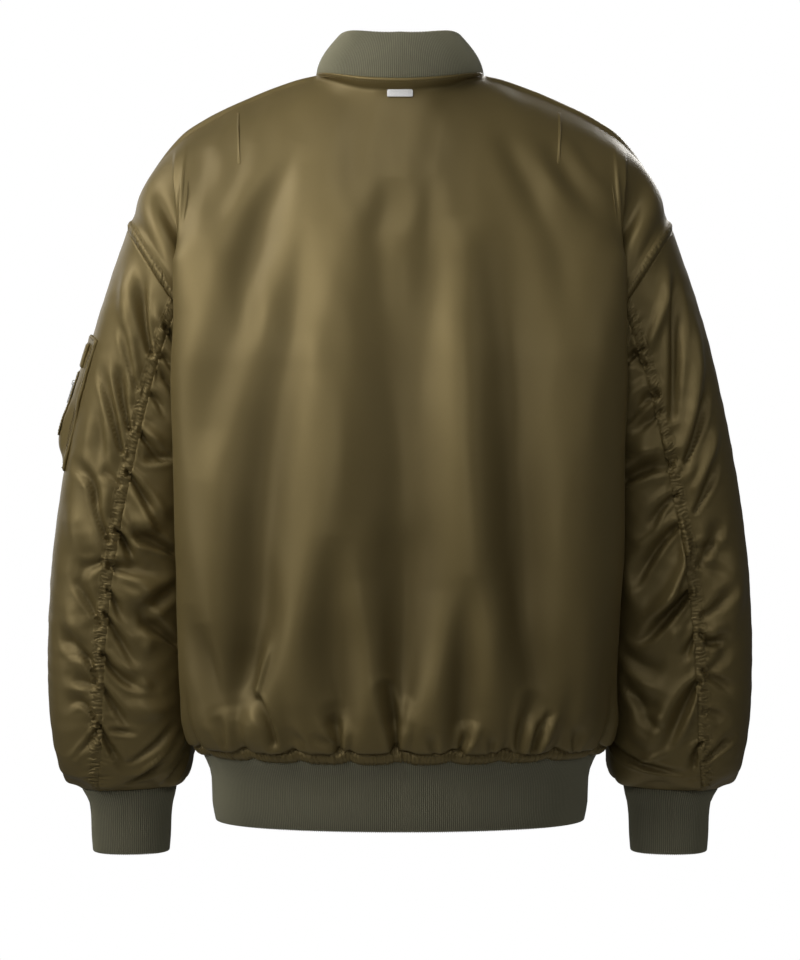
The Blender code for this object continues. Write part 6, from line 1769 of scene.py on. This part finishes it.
def dart(name, surface, hand):
    """A stitched tuck down the shoulder: the cloth on its left is laid over the right and gapes half way."""
    places = np.linspace(0, 1, 49)
    x = hand * np.interp(places, (0, 1), (DARTS["top"][0], DARTS["bottom"][0]))
    z = np.interp(places, (0, 1), (DARTS["top"][1], DARTS["bottom"][1]))
    first, last = DARTS["open"]
    gape = smooth((first - z) / 0.01) * smooth((z - last) / 0.014) * DARTS["gape"]
    heights = DARTS["lift"] * smooth(places / 0.1) * smooth((1 - places) / 0.3) + gape
    rows, ways = [], []
    for x_here, z_here, height in zip(x, z, heights):
        row = []
        for aside, up in DART_LIPS:
            spot, way = from_behind(surface, x_here + aside, z_here)
            lift = up if abs(up) < 0.01 else up * height
            row.append(spot + way * (lift + 0.0001))
        rows.append(row)
        ways.append(way)
    rows, ways = np.array(rows), np.array(ways)
    made = tube(name, rows, True, np.arange(len(DART_LIPS)) * 0.001, places * 0.06, nylon)
    stitches = slice(2, -4)
    line, way = rows[stitches, 3], ways[stitches]
    return made, (line + way * 0.0001, way, unit(rows[stitches, 2] - line))


def neck_plate(panel):
    """The blank plate below the collar, arched with the back, with rounded corners and edges."""
    middle = panel.face.shape[1] // 2
    surface = tree_of(panel.face[-40:, middle - 14:middle + 15])
    half, tall, corner = PLATE["half_width"], PLATE["height"] / 2, PLATE["corner"]
    outline = []
    for cx, cz, start in ((1, 1, 0), (-1, 1, 90), (-1, -1, 180), (1, -1, 270)):
        for turn in np.radians(start + np.linspace(0, 90, 7)):
            round_x, round_z = corner * math.cos(turn), corner * math.sin(turn)
            outline.append((cx * (half - corner) + round_x, cz * (tall - corner) + round_z))
    outline = np.array(outline)
    reach = np.abs(outline).max(axis=0)
    edge, thick = PLATE["edge"], PLATE["thick"]
    rounding = ((0.0, 0.0), (0.0, thick - edge), (edge * 0.3, thick - edge * 0.3), (edge, thick))
    rings = [(outline * (1 - inset / reach), up) for inset, up in rounding]
    rings += [(outline * share, thick + up) for share, up in ((0.5, 0.00005), (0.01, 0.0001))]
    way = unit(np.array([0.0, 1.0, 0.62]))
    points = []
    for ring, up in rings:
        for x, z in ring:
            spot, _ = from_behind(surface, x, PLATE["z"] + PLATE["arch"] * (1 - (x / half) ** 2) + z)
            points.append(spot + way * (PLATE["clear"] + up))
    index = numbered(len(rings), len(outline))
    faces = grid_faces(np.concatenate([index, index[:, :1]], axis=1), True)
    faces += end_faces(index[0], index[-1], True)
    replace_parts(link("plate", new_mesh("plate", np.array(points), faces), polished), "neck_plate")


# ---- making the jacket
def declare(made, cut):
    width, length, area, held = CUTS[cut]


def fading(share):
    """Puckers are deepest at the underarm."""
    return 1.4 - 1.0 * share


def bands_on(panel, rows, stitches):
    """The bands beside some edges of a panel. Their stitches join the others."""
    made = []
    for row in rows:
        band, lines = band_on(row[0], panel, *row[1:])
        stitches += lines
        made.append(band)
    return made


def neck_share(side):
    """How much of the columns of half the back or of a front are at the neck."""
    shares = body_grid(side)[0]
    return int(np.searchsorted(shares, NECK_SHARE)) / (len(shares) - 1)


studio()
sewn, crossed = [], []
back = back_piece()
back_cloth = cloth_piece("back", back, "back_panel")
rows = [(f"back_armhole_{edge}", edge, ARMHOLE_BAND, armhole_span(1), fading) for edge in ("first", "last")]
bands = bands_on(back, [*rows, ("back_hem_band", "bottom", HEM_NYLON)], sewn)
neck = neck_share(1) / 2
bands += bands_on(back, [("back_neck_band", "top", COLLAR_NYLON, (0.5 - neck, 0.5 + neck))], crossed)
surface = tree_of(back.face[-70:])
for name, hand in (("left_dart", 1), ("right_dart", -1)):
    made, line = dart(name, surface, hand)
    bands.append(made)
    sewn.append(line)
declare(back_cloth, "back")
hem_rows = hem_band_rows()
fronts, front_cloths = {}, {}
for side, hand in (("left", 1), ("right", -1)):
    front = fronts[side] = front_piece(hand)
    front_cloths[side] = cloth_piece(f"{side}_front", front, f"front_{side}")
    rows = (
        (f"{side}_front_armhole", "last", ARMHOLE_BAND, armhole_span(-1), fading),
        (f"{side}_front_hem_band", "bottom", HEM_NYLON),
        (f"{side}_front_edge_band", "first", EDGE_NYLON),
    )
    bands = bands_on(front, rows, sewn)
    row = (f"{side}_front_neck_band", "top", COLLAR_NYLON, (0.0, neck_share(-1)))
    bands += bands_on(front, [row], crossed)
    declare(front_cloths[side], "front")
sleeves, sleeve_cloths = {}, {}
for side, hand in (("left", 1), ("right", -1)):
    sleeves[side] = sleeve_pieces(hand)
    rows = [(f"{side}_sleeve_seam_{edge}", edge, RUCHED) for edge in ("first", "last")]
    bands = bands_on(sleeves[side][0], rows, sewn)
    for part, panel in zip(("outer", "under"), sleeves[side]):
        made = cloth_piece(f"{side}_sleeve_{part}", panel, f"sleeve_{side}_{part}")
        sleeve_cloths[side, part] = made
        declare(made, f"sleeve_{part}")
    middle = np.array([hand * CUFF_MIDDLE_X, CUFF_MIDDLE_Y, -0.74])
    declare(band_piece(f"{side}_rib_cuff", cuff_rows(hand), middle, f"cuff_{side}", True), "rib_cuff")
declare(band_piece("rib_hem_band", hem_rows, np.array([0.0, 0.0, -0.7]), "hem_band"), "rib_hem_band")
declare(band_piece("rib_collar", collar_rows(), np.array([0.0, -0.008, 0.02]), "collar"), "rib_collar")
for made, side in zip(front_zip(fronts["left"], hem_rows), ("left", "right")):
    declare(made, "front_tape")
sleeve_pocket(sleeves["left"][0], sleeve_cloths["left", "outer"])
neck_plate(back)
stitched("seam_stitching", sewn, thread, STITCH["pitch"], STITCH["length"])
stitched("collar_stitching", crossed, light_thread, CROSS_STITCH["pitch"], CROSS_STITCH["length"], True)

for name in ("zip_slider", "zip_pull", "pocket_zip_slider", "pocket_zip_pull"):
    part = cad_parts[name]
    part.data.materials.clear()
    part.data.materials.append(metal)
    rounding = part.modifiers.new("rounded edges", "BEVEL")
    rounding.width = 0.0003
    rounding.segments = 2
